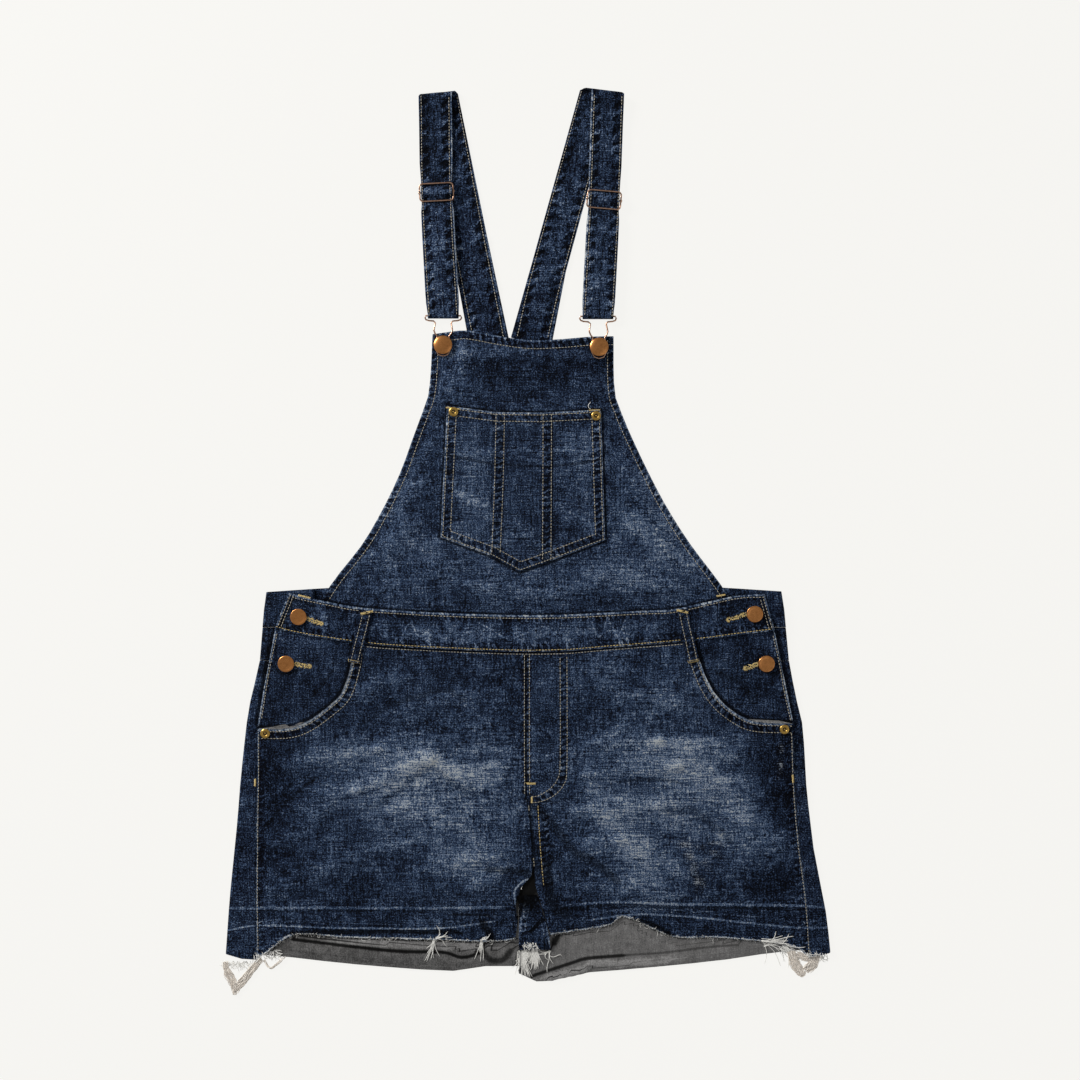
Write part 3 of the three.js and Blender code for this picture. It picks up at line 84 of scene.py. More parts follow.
STRAIGHT = ("pocket outline", "pocket top", "loop left", "loop right", "band end left",
            "band end right")
LINES = {
    "bib top": ((85, 205.5), (61.5, 205), (31.5, 202.5), (1.5, 201.5), (-28.5, 205.5), (-58.5, 211),
                (-73.5, 210.5), (-95.5, 207.5)),
    "bib left": ((-95.5, 207.5), (-99, 152.5), (-105.5, 130.5), (-114.5, 106.5), (-127.5, 70.5),
                 (-144.5, 34.5), (-165.5, -1.5), (-193.5, -37.5), (-206.5, -57.7)),
    "bib right": ((200, -54.2), (188.5, -37.5), (161.5, -1.5), (138.5, 34.5), (119.5, 70.5),
                  (102.5, 106.5), (92.5, 130.5), (86, 152.5), (85, 205.5)),
    "pocket outline": ((-81, 136), (-87.5, 5), (-37.5, -13.5), (-8.5, -29.5), (22.5, -18.5),
                       (76.5, 2), (72.5, 132)),
    "pocket top": ((72.5, 132), (11.5, 129), (-31.5, 129.5), (-81, 136)),
    "pocket seam left": ((-28, 129), (-29.5, 60), (-32.5, -14)),
    "pocket seam right": ((18.8, 128.5), (18.6, 60), (18.2, -19)),
    "waist top": ((235, -51.5), (204.5, -53.5), (147.5, -66.5), (111.5, -68.5), (31.5, -72.5),
                  (-28.5, -72.5), (-98.5, -70), (-165.5, -65.5), (-199.5, -59.5), (-223.5, -54.5),
                  (-238.5, -50.5)),
    "waist seam": ((-252.5, -85.5), (-228.5, -91.5), (-174.5, -100), (-129.5, -104.5),
                   (-28.5, -109), (31.5, -109), (71.5, -106), (161.5, -98.5), (211.5, -92),
                   (245.5, -88)),
    "band end left": ((-238.5, -50.5), (-252.5, -85.5)),
    "band end right": ((245.5, -88), (235, -51.5)),
    "loop left": ((-173.5, -119.5), (-161, -69.5)),
    "loop right": ((164.5, -118.5), (153.5, -68.5)),
    "mouth left": ((-174.5, -100.4), (-176.5, -121.5), (-185.5, -149.5), (-201.5, -165.5),
                   (-222.5, -180), (-240.5, -185.5), (-269.5, -186)),
    "mouth right": ((263, -180.5), (227.5, -179), (210, -172.5), (192, -158.5), (179.5, -140.5),
                    (169, -113.5), (164.5, -98.6)),
    "side left": ((-270.3, -190.5), (-271, -237.5), (-271.8, -277.5), (-272.2, -357.5),
                  (-271.6, -412)),
    "side right": ((281.8, -412), (279.4, -372.5), (275.6, -337.5), (271, -303.5), (266.4, -249.5),
                   (263.7, -186.5)),
    "wrap left": ((-252.8, -90), (-259.2, -120), (-264.4, -150), (-269, -180)),
    "wrap right": ((264.4, -180), (257.6, -150), (252.3, -120), (245.6, -90)),
    "fly outer": ((2.5, -259.5), (12, -258.5), (26, -252), (36, -240), (38.3, -225), (38.6, -170),
                  (38.3, -112)),
    "fly inner": ((2.5, -253.5), (10, -252.5), (21, -246), (29, -236), (31.5, -222), (31.8, -170),
                  (31.5, -112)),
    "centre": ((-1.8, -112), (-1.9, -180), (-1.6, -256)),
    "crotch left": ((0.2, -262), (1.6, -280), (3.6, -305), (5.6, -322), (4.5, -336)),
    "crotch right": ((9.5, -262), (10.6, -285), (12.3, -310), (13.8, -328), (15.5, -345)),
    "old hem left": ((-28, -364), (-120, -365), (-220, -364.5), (-297, -365)),
    "old hem right": ((297, -364), (255, -362), (150, -361), (90, -358.5), (40, -362)),
    "hem line left": ((-34, -378), (-90, -385), (-200, -384.5), (-268, -382), (-300, -387)),
    "hem line right": ((300, -384), (270, -384.5), (235, -381.5), (171.5, -374.5), (110, -371),
                       (60, -377)),
    "raw left": ((-271.1, -415.5), (-256, -406), (-233.5, -391.5), (-178.5, -394.5),
                 (-98.5, -396.5), (-38.5, -398.5), (-13, -396)),
    "raw right": ((22, -391.5), (79.5, -382.5), (96.5, -373.5), (143.5, -393.5), (191.5, -394.5),
                  (261.5, -402.5), (281.3, -415.5)),
    "strap left front": ((-84.9, 226), (-91.6, 349), (-92.8, 447)),
    "strap right front": ((69.4, 225.4), (75.5, 341.5), (79.2, 449)),
    "strap left back": ((-39, 199), (-60, 305), (-87, 447)),
    "strap right back": ((2.6, 199), (20.5, 274.5), (68, 449)),
    "band crease a": ((63, -79), (69, -93.5), (73.5, -91), (78, -77.5)),
    "band crease b": ((80.5, -77.5), (85, -87), (89.5, -93.5), (96.5, -77.5)),
    "band crease c": ((-128, -98), (-118, -80), (-109, -94), (-96, -84)),
    "band crease d": ((-50, -80), (-34, -88), (-18, -96), (14, -84), (30, -95)),
    "chevron": ((-164, -262), (-137, -248), (-99.5, -219), (-67.5, -240), (-51.5, -246)),
    "dark fold a": ((-263, -283), (-236, -254), (-212, -235)),
    "dark fold b": ((-153, -173), (-137, -163), (-86, -147), (-67, -155)),
    "dark fold c": ((-220, -158), (-204, -141), (-196, -128)),
    "dark fold d": ((-256, -122), (-244, -131), (-230, -128)),
    "dark fold e": ((10, -267), (27.6, -284.5), (43.6, -306.8), (62.7, -316.4), (88, -337)),
    "dark fold f": ((16.5, -321), (24.4, -361), (37, -370.6)),
    "dark fold g": ((92, -238), (120, -236), (149, -239)),
    "dark fold h": ((140, -268), (168, -270), (200, -296)),
    "dark fold i": ((-40, -326), (-20, -327), (3, -331)),
    "dark fold j": ((-45, -381), (-38, -392), (-36, -400)),
    "dark fold k": ((-76, -371.5), (-41, -371.5)),
    "dark fold l": ((228, -122), (240, -131), (254, -128)),
    "dark fold m": ((190, -130), (214, -142), (222, -158)),
    "pocket fold": ((-84, 88), (-60, 83), (-30, 78), (20, 76), (74, 82)),
    "roll left": ((5.5, -335.5), (-3, -337), (-8.5, -340.5), (-14, -348), (-13.5, -358),
                  (-9.5, -371), (-8, -382)),
    "torn seam": ((-3, -353), (-4.5, -366), (-7.2, -377), (-8.2, -386)),
    "flap side": ((17.6, -379), (19.5, -392), (22, -405)),
    "flap top": ((7, -356), (12, -362), (18, -373)),
    "inner strip": ((-200, -399.5), (-168, -399.5), (-127, -401.5), (-85, -403), (-46, -404.5)),
    "roll right": ((18, -435), (52, -427), (66, -420), (92, -421), (140, -416.5)),
    "gap left": ((-236, -396.5), (-168.5, -404.5), (-127.5, -408.5), (-85.5, -409.5), (-67, -414.5),
                 (-50.5, -410.5), (-44, -402)),
    "curl left": ((-46, -408), (-38, -417), (-26, -417), (-18, -408)),
    "gap right": ((2, -434), (11.5, -430.5), (45, -419.5), (59, -415.5), (94.5, -412.5)),
    "fold right": ((94.5, -412.5), (138, -409.5), (179.5, -404.3), (209, -402)),
    "under hem left": ((-236, -390), (-190, -389), (-130, -388.5), (-70, -389)),
    "under hem right": ((104, -377), (122, -381), (140, -390)),
    "crotch hollow": ((3, -258), (5, -310), (3, -336), (-2, -350)),
    "inner gap": ((24, -377), (33, -381), (30, -390), (25.5, -400)),
    "flap fold": ((17, -375), (9, -382), (2, -389)),
    "back centre": ((0.2, -86), (0.3, -250), (-3, -330), (-6, -410)),
    "back yoke": ((-285, -128), (-150, -140), (0, -158), (150, -140), (283, -126)),
    "back band": ((-268, -87), (-100, -92), (0, -93), (100, -92), (262, -87)),
}

POCKET = "bib_pocket_left bib_pocket_middle bib_pocket_right"
FRONT_LEGS = "front_leg_left front_leg_right"
BACK_HALVES = "back_leg_left back_leg_right back_yoke_left back_yoke_right"


class Seam(NamedTuple):
    """Rows of stitches along a guide line, and the puckered band between them."""

    line: str
    on: str  # the panels that it is sewn on
    rows: tuple  # offset of each row of stitches
    band: tuple = ()  # offset of the band's middle, its half width and depth
    thread: str = "tan"
    edge: float = 0.0  # a strap has a band this far to each side of its guide line
    under: bool = False  # sewn where it shows on the back of the garment


SEAMS = (
    Seam("bib top", "front_bib", (8.2,), (4.2, 4.6, 0.9)),
    Seam("bib left", "front_bib", (6.2,), (3.2, 3.8, 0.8)),
    Seam("bib right", "front_bib", (6.2,), (3.2, 3.8, 0.8)),
    Seam("pocket outline", POCKET, (2.0, 9.4), (5.4, 5.2, 1.0)),
    Seam("pocket top", POCKET, (2.0, 8.6), (5.0, 4.6, 0.7)),
    Seam("pocket seam left", "bib_pocket_middle", (-4.2, 4.2), (0, 5.2, 1.0)),
    Seam("pocket seam right", "bib_pocket_middle", (-4.2, 4.2), (0, 5.2, 1.0)),
    Seam("waist top", "waistband_front", (2.8,), (3.0, 4.2, 0.7)),
    Seam("waist seam", "waistband_front", (2.2,), (4.0, 4.5, 0.8), thread="gold"),
    Seam("waist seam", FRONT_LEGS, (-2.0,)),
    Seam("band end left", "waistband_front", (2.2, 5.2), (3.5, 3.0, 0.7)),
    Seam("band end right", "waistband_front", (2.2, 5.2), (3.5, 3.0, 0.7)),
    Seam("loop left", "belt_loop_left", (-3.4, 3.4), (0, 5.5, 0.5)),
    Seam("loop right", "belt_loop_right", (-3.4, 3.4), (0, 5.5, 0.5)),
    Seam("mouth left", "front_leg_left", (2.4, 9.2), (5.6, 5.0, 1.0)),
    Seam("mouth right", "front_leg_right", (2.4, 9.2), (5.6, 5.0, 1.0)),
    Seam("side left", "front_leg_left", (1.8,), (3.0, 5.5, 0.6)),
    Seam("side right", "front_leg_right", (1.8,), (3.0, 5.5, 0.6)),
    Seam("wrap left", "pocket_facing_left", (2.4,), (2.0, 3.5, 0.5)),
    Seam("wrap right", "pocket_facing_right", (2.4,), (2.0, 3.5, 0.5)),
    Seam("fly outer", "front_leg_right", (0,)),
    Seam("fly inner", "front_leg_right", (0,), (-3.4, 4.4, 0.9)),
    Seam("centre", FRONT_LEGS, (-2.2, 2.8), (0, 5.0, 0.8)),
    Seam("crotch left", FRONT_LEGS, (0,)),
    Seam("crotch right", "front_leg_right", (0,), (4.5, 5.5, 1.0), thread="gold"),
    Seam("strap left front", "strap_left", (-13.6, 14.0), (0, 4.8, 1.0), edge=11.0),
    Seam("strap right front", "strap_right", (-14.0, 13.4), (0, 4.8, 1.0), edge=11.0),
    Seam("strap left back", "strap_left", (-15.0, 15.0), (0, 4.8, 1.0), edge=12.0),
    Seam("strap right back", "strap_right", (-15.0, 15.0), (0, 4.8, 1.0), edge=12.0),
    Seam("back centre", BACK_HALVES, (-3.0, 3.4), (0, 4.5, 0.7), under=True),
    Seam("back yoke", BACK_HALVES, (-3.0, 3.4), (0, 4.5, 0.7), under=True),
    Seam("back band", "waistband_back", (3.0,), (3, 4.5, 0.7), under=True),
)

# Worn pale lines along folded and cut edges of each panel: line, offset, half width, strength
WORN = {
    "waistband_front": (
        ("waist top", 0.5, 1.0, 0.75), ("waist seam", 0.6, 0.9, 0.5),
        ("band end left", 0.5, 1.1, 0.8), ("band end right", 0.5, 1.1, 0.8),
        ("band crease a", 0, 0.8, 0.4), ("band crease b", 0, 0.8, 0.35),
        ("band crease c", 0, 0.8, 0.35), ("band crease d", 0, 0.7, 0.3),
    ),
    "front_leg_left": (
        ("mouth left", 0.6, 1.2, 0.9), ("side left", 0.5, 0.9, 0.75), ("chevron", 3, 4.5, 0.07),
        ("old hem left", 0, 1.4, 0.45), ("hem line left", 0, 0.9, 0.6), ("raw left", 0.5, 1.0, 0.9),
        ("roll left", 0, 0.9, 0.7),
    ),
    "front_leg_right": (
        ("mouth right", 0.6, 1.2, 0.8), ("side right", 0.5, 0.9, 0.65),
        ("old hem right", 0, 1.4, 0.45), ("hem line right", 0, 1.0, 0.6),
        ("raw right", 0.5, 1.0, 0.9),
    ),
    "front_bib": (
        ("bib top", 0.4, 0.8, 0.5), ("bib left", 0.4, 0.8, 0.35), ("bib right", 0.4, 0.8, 0.45),
    ),
    "bib_pocket_left": (
        ("pocket outline", 0.5, 0.8, 0.5), ("pocket top", 0.4, 0.8, 0.6),
    ),
    "bib_pocket_right": (
        ("pocket outline", 0.5, 0.8, 0.5), ("pocket top", 0.4, 0.8, 0.6),
    ),
    "bib_pocket_middle": (
        ("pocket top", 0.4, 0.8, 0.6),
    ),
    "pocket_facing_left": (
        ("wrap left", 0.5, 0.7, 0.9),
    ),
    "pocket_facing_right": (
        ("wrap right", 0.5, 0.7, 1.0),
    ),
    "back_leg_left": (
        ("old hem left", 0, 1.4, 0.45), ("hem line left", 0, 0.9, 0.6),
        ("inner strip", 0, 3.6, 0.8),
    ),
    "back_leg_right": (
        ("old hem right", 0, 1.4, 0.45), ("hem line right", 0, 1.0, 0.6),
        ("torn seam", 0, 1.4, 0.6), ("torn seam", 4.5, 0.7, 0.5), ("flap side", 0, 0.9, 0.6),
        ("flap top", 0, 0.8, 0.4), ("roll right", 0, 3.6, 0.6),
    ),
    "strap_left": (
        ("strap left front", -15.9, 0.8, 0.8), ("strap left back", -17.6, 0.8, 0.35),
    ),
    "strap_right": (
        ("strap right front", 15.7, 0.8, 0.8), ("strap right back", -17.6, 0.8, 0.35),
    ),
}

# Painted shade in gaps, hollows and creases, under hems, folds and edges, and beside the pieces
# that lie over each panel: line, offset, half width, depth
SHADE_LINES = {
    "back_leg_left": (
        ("gap left", 0, 2.0, 0.96), ("curl left", 0, 3.4, 0.8), ("raw left", -0.6, 1.4, 0.7),
        ("crotch hollow", 0, 22, 0.97), ("wrap left", -2.0, 2.6, 0.8),
    ),
    "back_leg_right": (
        ("gap right", 0, 2.0, 0.92), ("fold right", 0, 1.3, 0.5), ("raw right", -0.4, 1.2, 0.5),
        ("crotch hollow", 0, 22, 0.97), ("inner gap", 0, 4.2, 0.95), ("flap fold", 0, 1.5, 0.85),
        ("torn seam", -3.4, 2.2, 0.8), ("wrap right", -2.0, 2.6, 0.7),
    ),
    "front_leg_left": (
        ("under hem left", 0, 2.6, 0.8), ("old hem left", 3.0, 1.6, 0.3),
        ("dark fold a", 0, 1.6, 0.5), ("chevron", -5, 3.5, 0.22), ("dark fold b", 0, 3.0, 0.35),
        ("dark fold i", 0, 3.5, 0.55), ("dark fold j", 0, 5.0, 0.85), ("dark fold k", 0, 1.0, 0.8),
        ("waist seam", -0.4, 1.2, 0.75), ("centre", -1.2, 1.4, 0.7), ("crotch left", 1.4, 1.8, 0.6),
        ("roll left", 4.0, 2.2, 0.45),
    ),
    "front_leg_right": (
        ("under hem right", 0, 3.0, 0.85), ("old hem right", 3.2, 1.8, 0.5),
        ("dark fold e", 0, 4.5, 0.5), ("dark fold f", 0, 6.5, 0.65), ("dark fold g", 0, 1.8, 0.4),
        ("dark fold h", 0, 5.0, 0.28), ("waist seam", -0.4, 1.2, 0.75),
        ("crotch left", 1.4, 1.8, 0.6),
    ),
    "pocket_facing_left": (
        ("dark fold c", 0, 1.6, 0.45), ("dark fold d", 0, 2.0, 0.7), ("mouth left", -1.8, 2.6, 0.8),
    ),
    "pocket_facing_right": (
        ("dark fold l", 0, 2.0, 0.6), ("dark fold m", 0, 3.0, 0.4),
        ("mouth right", -1.8, 2.6, 0.85),
    ),
    "bib_pocket_left": (
        ("pocket fold", 0, 1.6, 0.5),
    ),
    "bib_pocket_middle": (
        ("pocket fold", 0, 1.6, 0.5),
    ),
    "bib_pocket_right": (
        ("pocket fold", 0, 1.6, 0.5),
    ),
    "back_yoke_left": (
        ("wrap left", -2.0, 2.6, 0.8),
    ),
    "waistband_back": (
        ("wrap left", -2.0, 2.6, 0.8), ("wrap right", -2.0, 2.6, 0.7),
    ),
    "back_yoke_right": (
        ("wrap right", -2.0, 2.6, 0.7),
    ),
    "front_bib": (
        ("waist top", -0.9, 1.8, 0.75), ("pocket outline", -0.9, 1.6, 0.7),
        ("pocket top", -1.0, 1.8, 0.75),
    ),
    "strap_left": (
        ("strap left front", -19.0, 2.6, 0.75),
    ),
    "strap_right": (
        ("strap right front", 18.8, 2.6, 0.75),
    ),
}

# Creases: from one place to another, their rise and half width in millimetres
CREASES = {
    "legs": (
        (-240, -222, -150, -205, 0.9, 9), (-150, -205, -98, -218, 0.7, 8),
        (-98, -212, -60, -240, 0.8, 8), (-232, -262, -170, -246, 0.7, 7),
        (-170, -246, -98, -214, 0.9, 9), (-256, -300, -200, -262, 0.8, 10),
        (-210, -330, -120, -300, 0.7, 9), (-130, -262, -60, -282, 0.6, 8),
        (-262, -345, -215, -322, 0.6, 9), (-110, -330, -30, -312, 0.7, 8),
        (-60, -345, -22, -322, 0.8, 8), (-172, -150, -120, -133, 0.7, 9),
        (-150, -176, -60, -150, 0.6, 10), (-90, -122, -30, -126, 0.4, 6),
        (60, -200, 130, -196, 0.8, 8), (130, -196, 205, -212, 0.8, 9),
        (52, -232, 150, -222, 0.8, 8), (150, -222, 232, -250, 0.8, 10),
        (48, -268, 130, -262, 0.7, 9), (130, -262, 215, -300, 0.7, 9), (40, -312, 90, -296, 0.8, 8),
        (90, -296, 160, -332, 0.7, 9), (60, -342, 150, -352, 0.6, 8),
        (200, -330, 262, -290, 0.7, 10), (70, -136, 150, -160, 0.6, 10),
        (46, -128, 78, -122, 0.4, 6), (14, -322, 42, -352, 0.9, 7), (0, -122, 36, -122, 0.35, 3),
        (0, -142, 36, -142, 0.4, 3), (0, -185, 36, -186, 0.5, 4), (0, -214, 34, -215, 0.6, 4),
        (0, -229, 30, -229, 0.4, 3),
    ),
    "bib": (
        (-65, 200, -67, 168, 0.8, 5), (-78, 186, 70, 184, 0.8, 6), (-20, 172, 60, 168, 0.5, 8),
        (-95, 150, -60, 158, 0.4, 7), (82, 152, 40, 160, 0.4, 7), (-128, 60, -98, 100, 0.6, 9),
        (-150, 20, -105, 62, 0.7, 10), (-170, -20, -110, 20, 0.7, 10),
        (-150, -46, -70, -20, 0.7, 11), (115, 62, 92, 98, 0.5, 9), (140, 20, 96, 60, 0.7, 10),
        (165, -24, 100, 22, 0.7, 10), (150, -44, 60, -30, 0.7, 11), (-60, -40, 10, -52, 0.6, 8),
        (20, -52, 70, -42, 0.5, 7), (-84, 89, 74, 91, 0.5, 4), (-78, 60, -44, 40, 0.5, 8),
        (-22, 20, 8, 0, 0.5, 8), (30, 40, 66, 14, 0.5, 9), (-40, -56, -36, -30, 0.4, 5),
        (60, -60, 74, -30, 0.4, 6),
    ),
    "band": (
        (-232, -60, -236, -86, 0.3, 4), (-205, -64, -200, -92, 0.35, 4),
        (-186, -68, -190, -96, 0.3, 4), (-148, -72, -140, -98, 0.35, 5),
        (-118, -74, -124, -100, 0.35, 4), (-98, -76, -96, -104, 0.4, 5),
        (-78, -76, -84, -104, 0.4, 5), (-58, -78, -50, -106, 0.45, 5),
        (-34, -78, -38, -106, 0.4, 4), (-14, -78, -8, -106, 0.4, 5), (10, -78, 4, -106, 0.4, 5),
        (34, -78, 38, -104, 0.35, 5), (66, -76, 60, -104, 0.35, 5), (96, -76, 102, -102, 0.35, 5),
        (128, -74, 122, -100, 0.35, 5), (172, -66, 176, -94, 0.35, 4),
        (190, -62, 186, -92, 0.35, 4), (206, -60, 212, -90, 0.3, 4),
    ),
    "back": (
        (-226, -407, -60, -420, 1.1, 5), (-170, -399, -50, -403, 0.7, 3),
        (14, -436, 62, -421, 1.3, 5), (62, -421, 100, -421, 1.1, 5), (60, -405, 108, -400, 0.7, 6),
        (100, -420, 190, -411, 0.8, 4), (-4, -360, -8, -384, 0.9, 3), (14, -366, 21, -402, 0.9, 4),
        (4, -380, 0, -402, 0.7, 4), (-46, -416, -16, -414, 1.0, 4),
    ),
    "straps": (
        (-104, 425, -84, 418, 0.5, 4), (-104, 400, -80, 408, 0.45, 4),
        (-102, 382, -84, 376, 0.5, 4), (-106, 366, -78, 371, 0.35, 3),
        (-102, 325, -82, 331, 0.45, 4), (-98, 300, -76, 292, 0.5, 4), (-96, 272, -76, 279, 0.45, 4),
        (-98, 250, -72, 244, 0.45, 4), (-84, 405, -66, 395, 0.4, 4), (-72, 370, -50, 376, 0.4, 4),
        (-66, 335, -44, 328, 0.45, 4), (-58, 300, -36, 306, 0.4, 4), (-50, 262, -30, 255, 0.45, 4),
        (-44, 230, -24, 236, 0.4, 4), (66, 420, 90, 428, 0.5, 4), (64, 396, 88, 390, 0.45, 4),
        (62, 372, 88, 378, 0.45, 4), (60, 312, 86, 306, 0.5, 4), (60, 286, 84, 293, 0.45, 4),
        (58, 262, 82, 256, 0.5, 4), (36, 400, 60, 408, 0.4, 4), (28, 368, 52, 360, 0.45, 4),
        (18, 332, 42, 340, 0.4, 4), (10, 300, 34, 292, 0.45, 4), (2, 268, 26, 275, 0.4, 4),
        (-8, 236, 18, 228, 0.45, 4),
    ),
}

# Washed patches, and a few rows of painted light and shade on the bib: middle, half width, half
# height, turn in degrees, and how pale they are
FADES = {
    "legs": (
        (-100, -252, 92, 60, 4, 0.24), (-44, -229, 30, 15, 0, 0.179),
        (-101, -222, 24, 10, 0, -0.02), (-120, -250, 26, 16, 20, 0.138),
        (-48, -203, 20, 9, 0, 0.097), (-190, -210, 22, 8, 0, 0.083), (-78, -322, 28, 20, 0, 0.138),
        (-78, -262, 40, 14, 0, 0.083), (128, -262, 96, 66, -8, 0.235), (147, -201, 54, 8, 2, 0.276),
        (163, -231, 28, 17, -10, 0.235), (211, -266, 36, 14, -34, 0.235),
        (67, -261, 18, 9, 10, 0.179), (82, -279, 22, 8, -10, 0.193), (106, -300, 22, 14, -20, 0.19),
        (122, -330, 40, 22, 0, 0.18), (240, -296, 30, 12, -40, 0.11), (104, -236, 40, 9, 0, -0.08),
        (168, -280, 30, 9, -20, -0.06), (241, -339, 24, 16, 0, -0.16),
        (240, -232, 22, 42, 10, -0.08), (30, -352, 14, 14, 0, -0.05), (60, -335, 20, 20, 0, 0.083),
        (-225, -345, 60, 40, 0, -0.03), (-260, -250, 24, 100, 0, -0.14), (236, -345, 60, 40, 0, 0),
        (258, -250, 22, 90, 0, -0.13), (130, -354, 90, 20, 0, 0.04), (30, -320, 34, 50, 0, -0.02),
        (120, -150, 84, 38, 0, 0.1), (-200, -200, 60, 24, 20, 0.041), (-45, -310, 34, 44, 0, 0.069),
        (-222, -272, 30, 48, 0, -0.07), (-225, -150, 50, 30, 20, -0.04),
        (226, -125, 50, 40, 0, -0.05),
    ),
    "bib": (
        # The first two rows are painted shade in the trough under the bib's top fold, the third and
        # fourth painted highlight on its bulge above
        (6, 178, 66, 17, 0, -0.14), (4, 158, 60, 16, 0, -0.04), (-34, 193, 34, 6, 0, 0.12),
        (40, 190, 26, 7, 0, 0.06), (-65, 180, 4, 22, 4, 0.1), (-82, 176, 8, 22, 0, 0.05),
        (80, 172, 7, 20, 0, -0.06), (-8, -30, 130, 30, 0, 0.05), (130, 0, 60, 60, 30, 0.13),
        (-58, 60, 20, 62, 0, 0.175), (48, 60, 22, 60, 0, 0.15), (-6, 60, 14, 70, 0, -0.03),
        (-130, 20, 40, 70, -30, 0.03),
    ),
    "band": (
        (-190, -80, 40, 18, 0, 0.06), (20, -92, 170, 14, 0, 0.12), (-90, -92, 60, 14, 0, 0.1),
        (190, -76, 30, 18, 0, 0.03), (-245, -70, 12, 22, 0, -0.12), (243, -70, 12, 22, 0, -0.14),
    ),
    "straps": (
        (-96, 262, 14, 60, 0, 0.13), (-92, 405, 18, 46, 0, -0.1), (-92, 349, 12, 6, 0, 0.22),
        (75.5, 341.5, 12, 6, 0, 0.15), (66, 270, 14, 62, 0, 0.14), (78, 400, 10, 40, 0, 0.05),
        (-60, 300, 12, 80, 10, 0.03), (30, 300, 12, 80, -15, 0.05),
    ),
}

# Whiskers: pale wear along the creases of the thighs
WHISKERS = (
    (-228, -212, -30, -206, 0.08, 5), (-210, -226, -40, -223, 0.1, 5),
    (-222, -246, -100, -224, 0.11, 5), (-98, -218, -30, -240, 0.1, 5),
    (-212, -266, -98, -236, 0.08, 5), (-200, -282, -110, -250, 0.06, 5),
    (-60, -232, -24, -256, 0.07, 4), (-160, -300, -60, -290, 0.05, 6),
    (70, -214, 212, -216, 0.05, 5), (62, -250, 100, -248, 0.05, 4), (56, -250, 190, -258, 0.08, 5),
    (60, -268, 170, -282, 0.07, 6), (150, -282, 226, -308, 0.08, 7),
    (170, -306, 206, -336, 0.07, 6), (88, -296, 150, -300, 0.04, 6),
)


# Sizes and colours that a user would change

def length(name, text, value):
    return FloatProperty(name=name, description=text, default=value * MM, unit="LENGTH",
                         precision=5)


def colour(name, text, value):
    return FloatVectorProperty(name=name, description=text, default=value, size=3, subtype="COLOR",
                               min=0, max=1)


class ClothSettings(bpy.types.PropertyGroup):
    front_spacing: length("Front mesh", "Spacing of the mesh of the front panels", 2.1)
    back_spacing: length("Back mesh", "Spacing of the mesh of the back panels", 3.2)
    rim: length("Rim", "Rounding of every cloth edge", 0.3)
    pucker: length("Pucker", "Height of the puckers along the seams", 0.42)
    crumple: length("Crumple", "Height of the fine unevenness of the cloth", 0.3)
    night: colour("Darkest", "Unwashed indigo in the hollows", (0.0009, 0.0014, 0.0037))
    indigo: colour("Indigo", "Dark washed indigo", (0.0122, 0.022, 0.05))
    blue: colour("Mid blue", "Washed blue", (0.0435, 0.0765, 0.153))
    faded: colour("Faded", "Faded blue of the thighs", (0.17, 0.238, 0.357))
    bare: colour("Bare", "White cotton where the dye is gone", (0.5, 0.53, 0.55))
    inside: colour("Inside", "Grey inner face of the denim", (0.16, 0.158, 0.158))


class ThreadSettings(bpy.types.PropertyGroup):
    pitch: length("Stitch pitch", "From one stitch to the next", 3.1)
    stitch: length("Stitch", "Length of one stitch", 2.35)
    thickness: length("Thread", "Thickness of the sewing thread", 0.72)
    tan: colour("Tan thread", "Off-white sewing thread", (0.52, 0.48, 0.39))
    gold: colour("Gold thread", "Yellow-tan thread of waist, bars and buttonholes",
                 (0.72, 0.55, 0.24))
    cotton: colour("Cotton", "Loose white weft threads", (0.95, 0.94, 0.9))
    old_cotton: colour("Old cotton", "Beige threads of the torn corners", (0.93, 0.86, 0.78))


class MetalSettings(bpy.types.PropertyGroup):
    copper: colour("Copper", "Antique copper of the buttons", (0.62, 0.27, 0.09))
    brass: colour("Brass", "Antique brass of the rivets", (0.58, 0.37, 0.1))
    wire: colour("Wire", "Copper-plated wire of buckles and sliders", (0.62, 0.39, 0.28))
    steps: IntProperty(name="Round", description="Steps round each button", default=48, min=12)


class StageSettings(bpy.types.PropertyGroup):
    floor: colour("Floor", "Pale paper", (0.9, 0.892, 0.865))
    camera_height: FloatProperty(name="Camera height", description="Height of the camera",
                                 default=1.5, unit="LENGTH")
    key_power: FloatProperty(name="Key light", description="Power of the window light",
                             default=80.0, unit="POWER")


# Guide lines worked out

def shifted(points, offset):
    """A line moved to its left by an offset, with mitred corners."""
    p = np.array(points, float)
    run = np.diff(p, axis=0)
    run /= np.linalg.norm(run, axis=1, keepdims=True)
    left = np.column_stack([-run[:, 1], run[:, 0]])
    both = np.vstack([left[:1], left]) + np.vstack([left, left[-1:]])
    return p + offset * both * 2 / (both ** 2).sum(1, keepdims=True)


def drawn(points, straight):
    """The line as many short chords, through its places in a smooth curve unless it is straight."""
    p = np.array(points, float)
    if straight or len(p) < 3:
        return p
    ends = np.vstack([2 * p[0] - p[1], p, 2 * p[-1] - p[-2]])
    t = np.linspace(0, 1, 7)[:-1, None]
    parts = []
    for a, b, c, d in zip(ends, ends[1:], ends[2:], ends[3:]):
        parts.append(0.5 * (2 * b + (c - a) * t + (2 * a - 5 * b + 4 * c - d) * t ** 2
                            + (3 * b - a - 3 * c + d) * t ** 3))
    return np.vstack(parts + [p[-1:]])


def guide(name, offset=0.0):
    return drawn(shifted(LINES[name], offset), name in STRAIGHT)


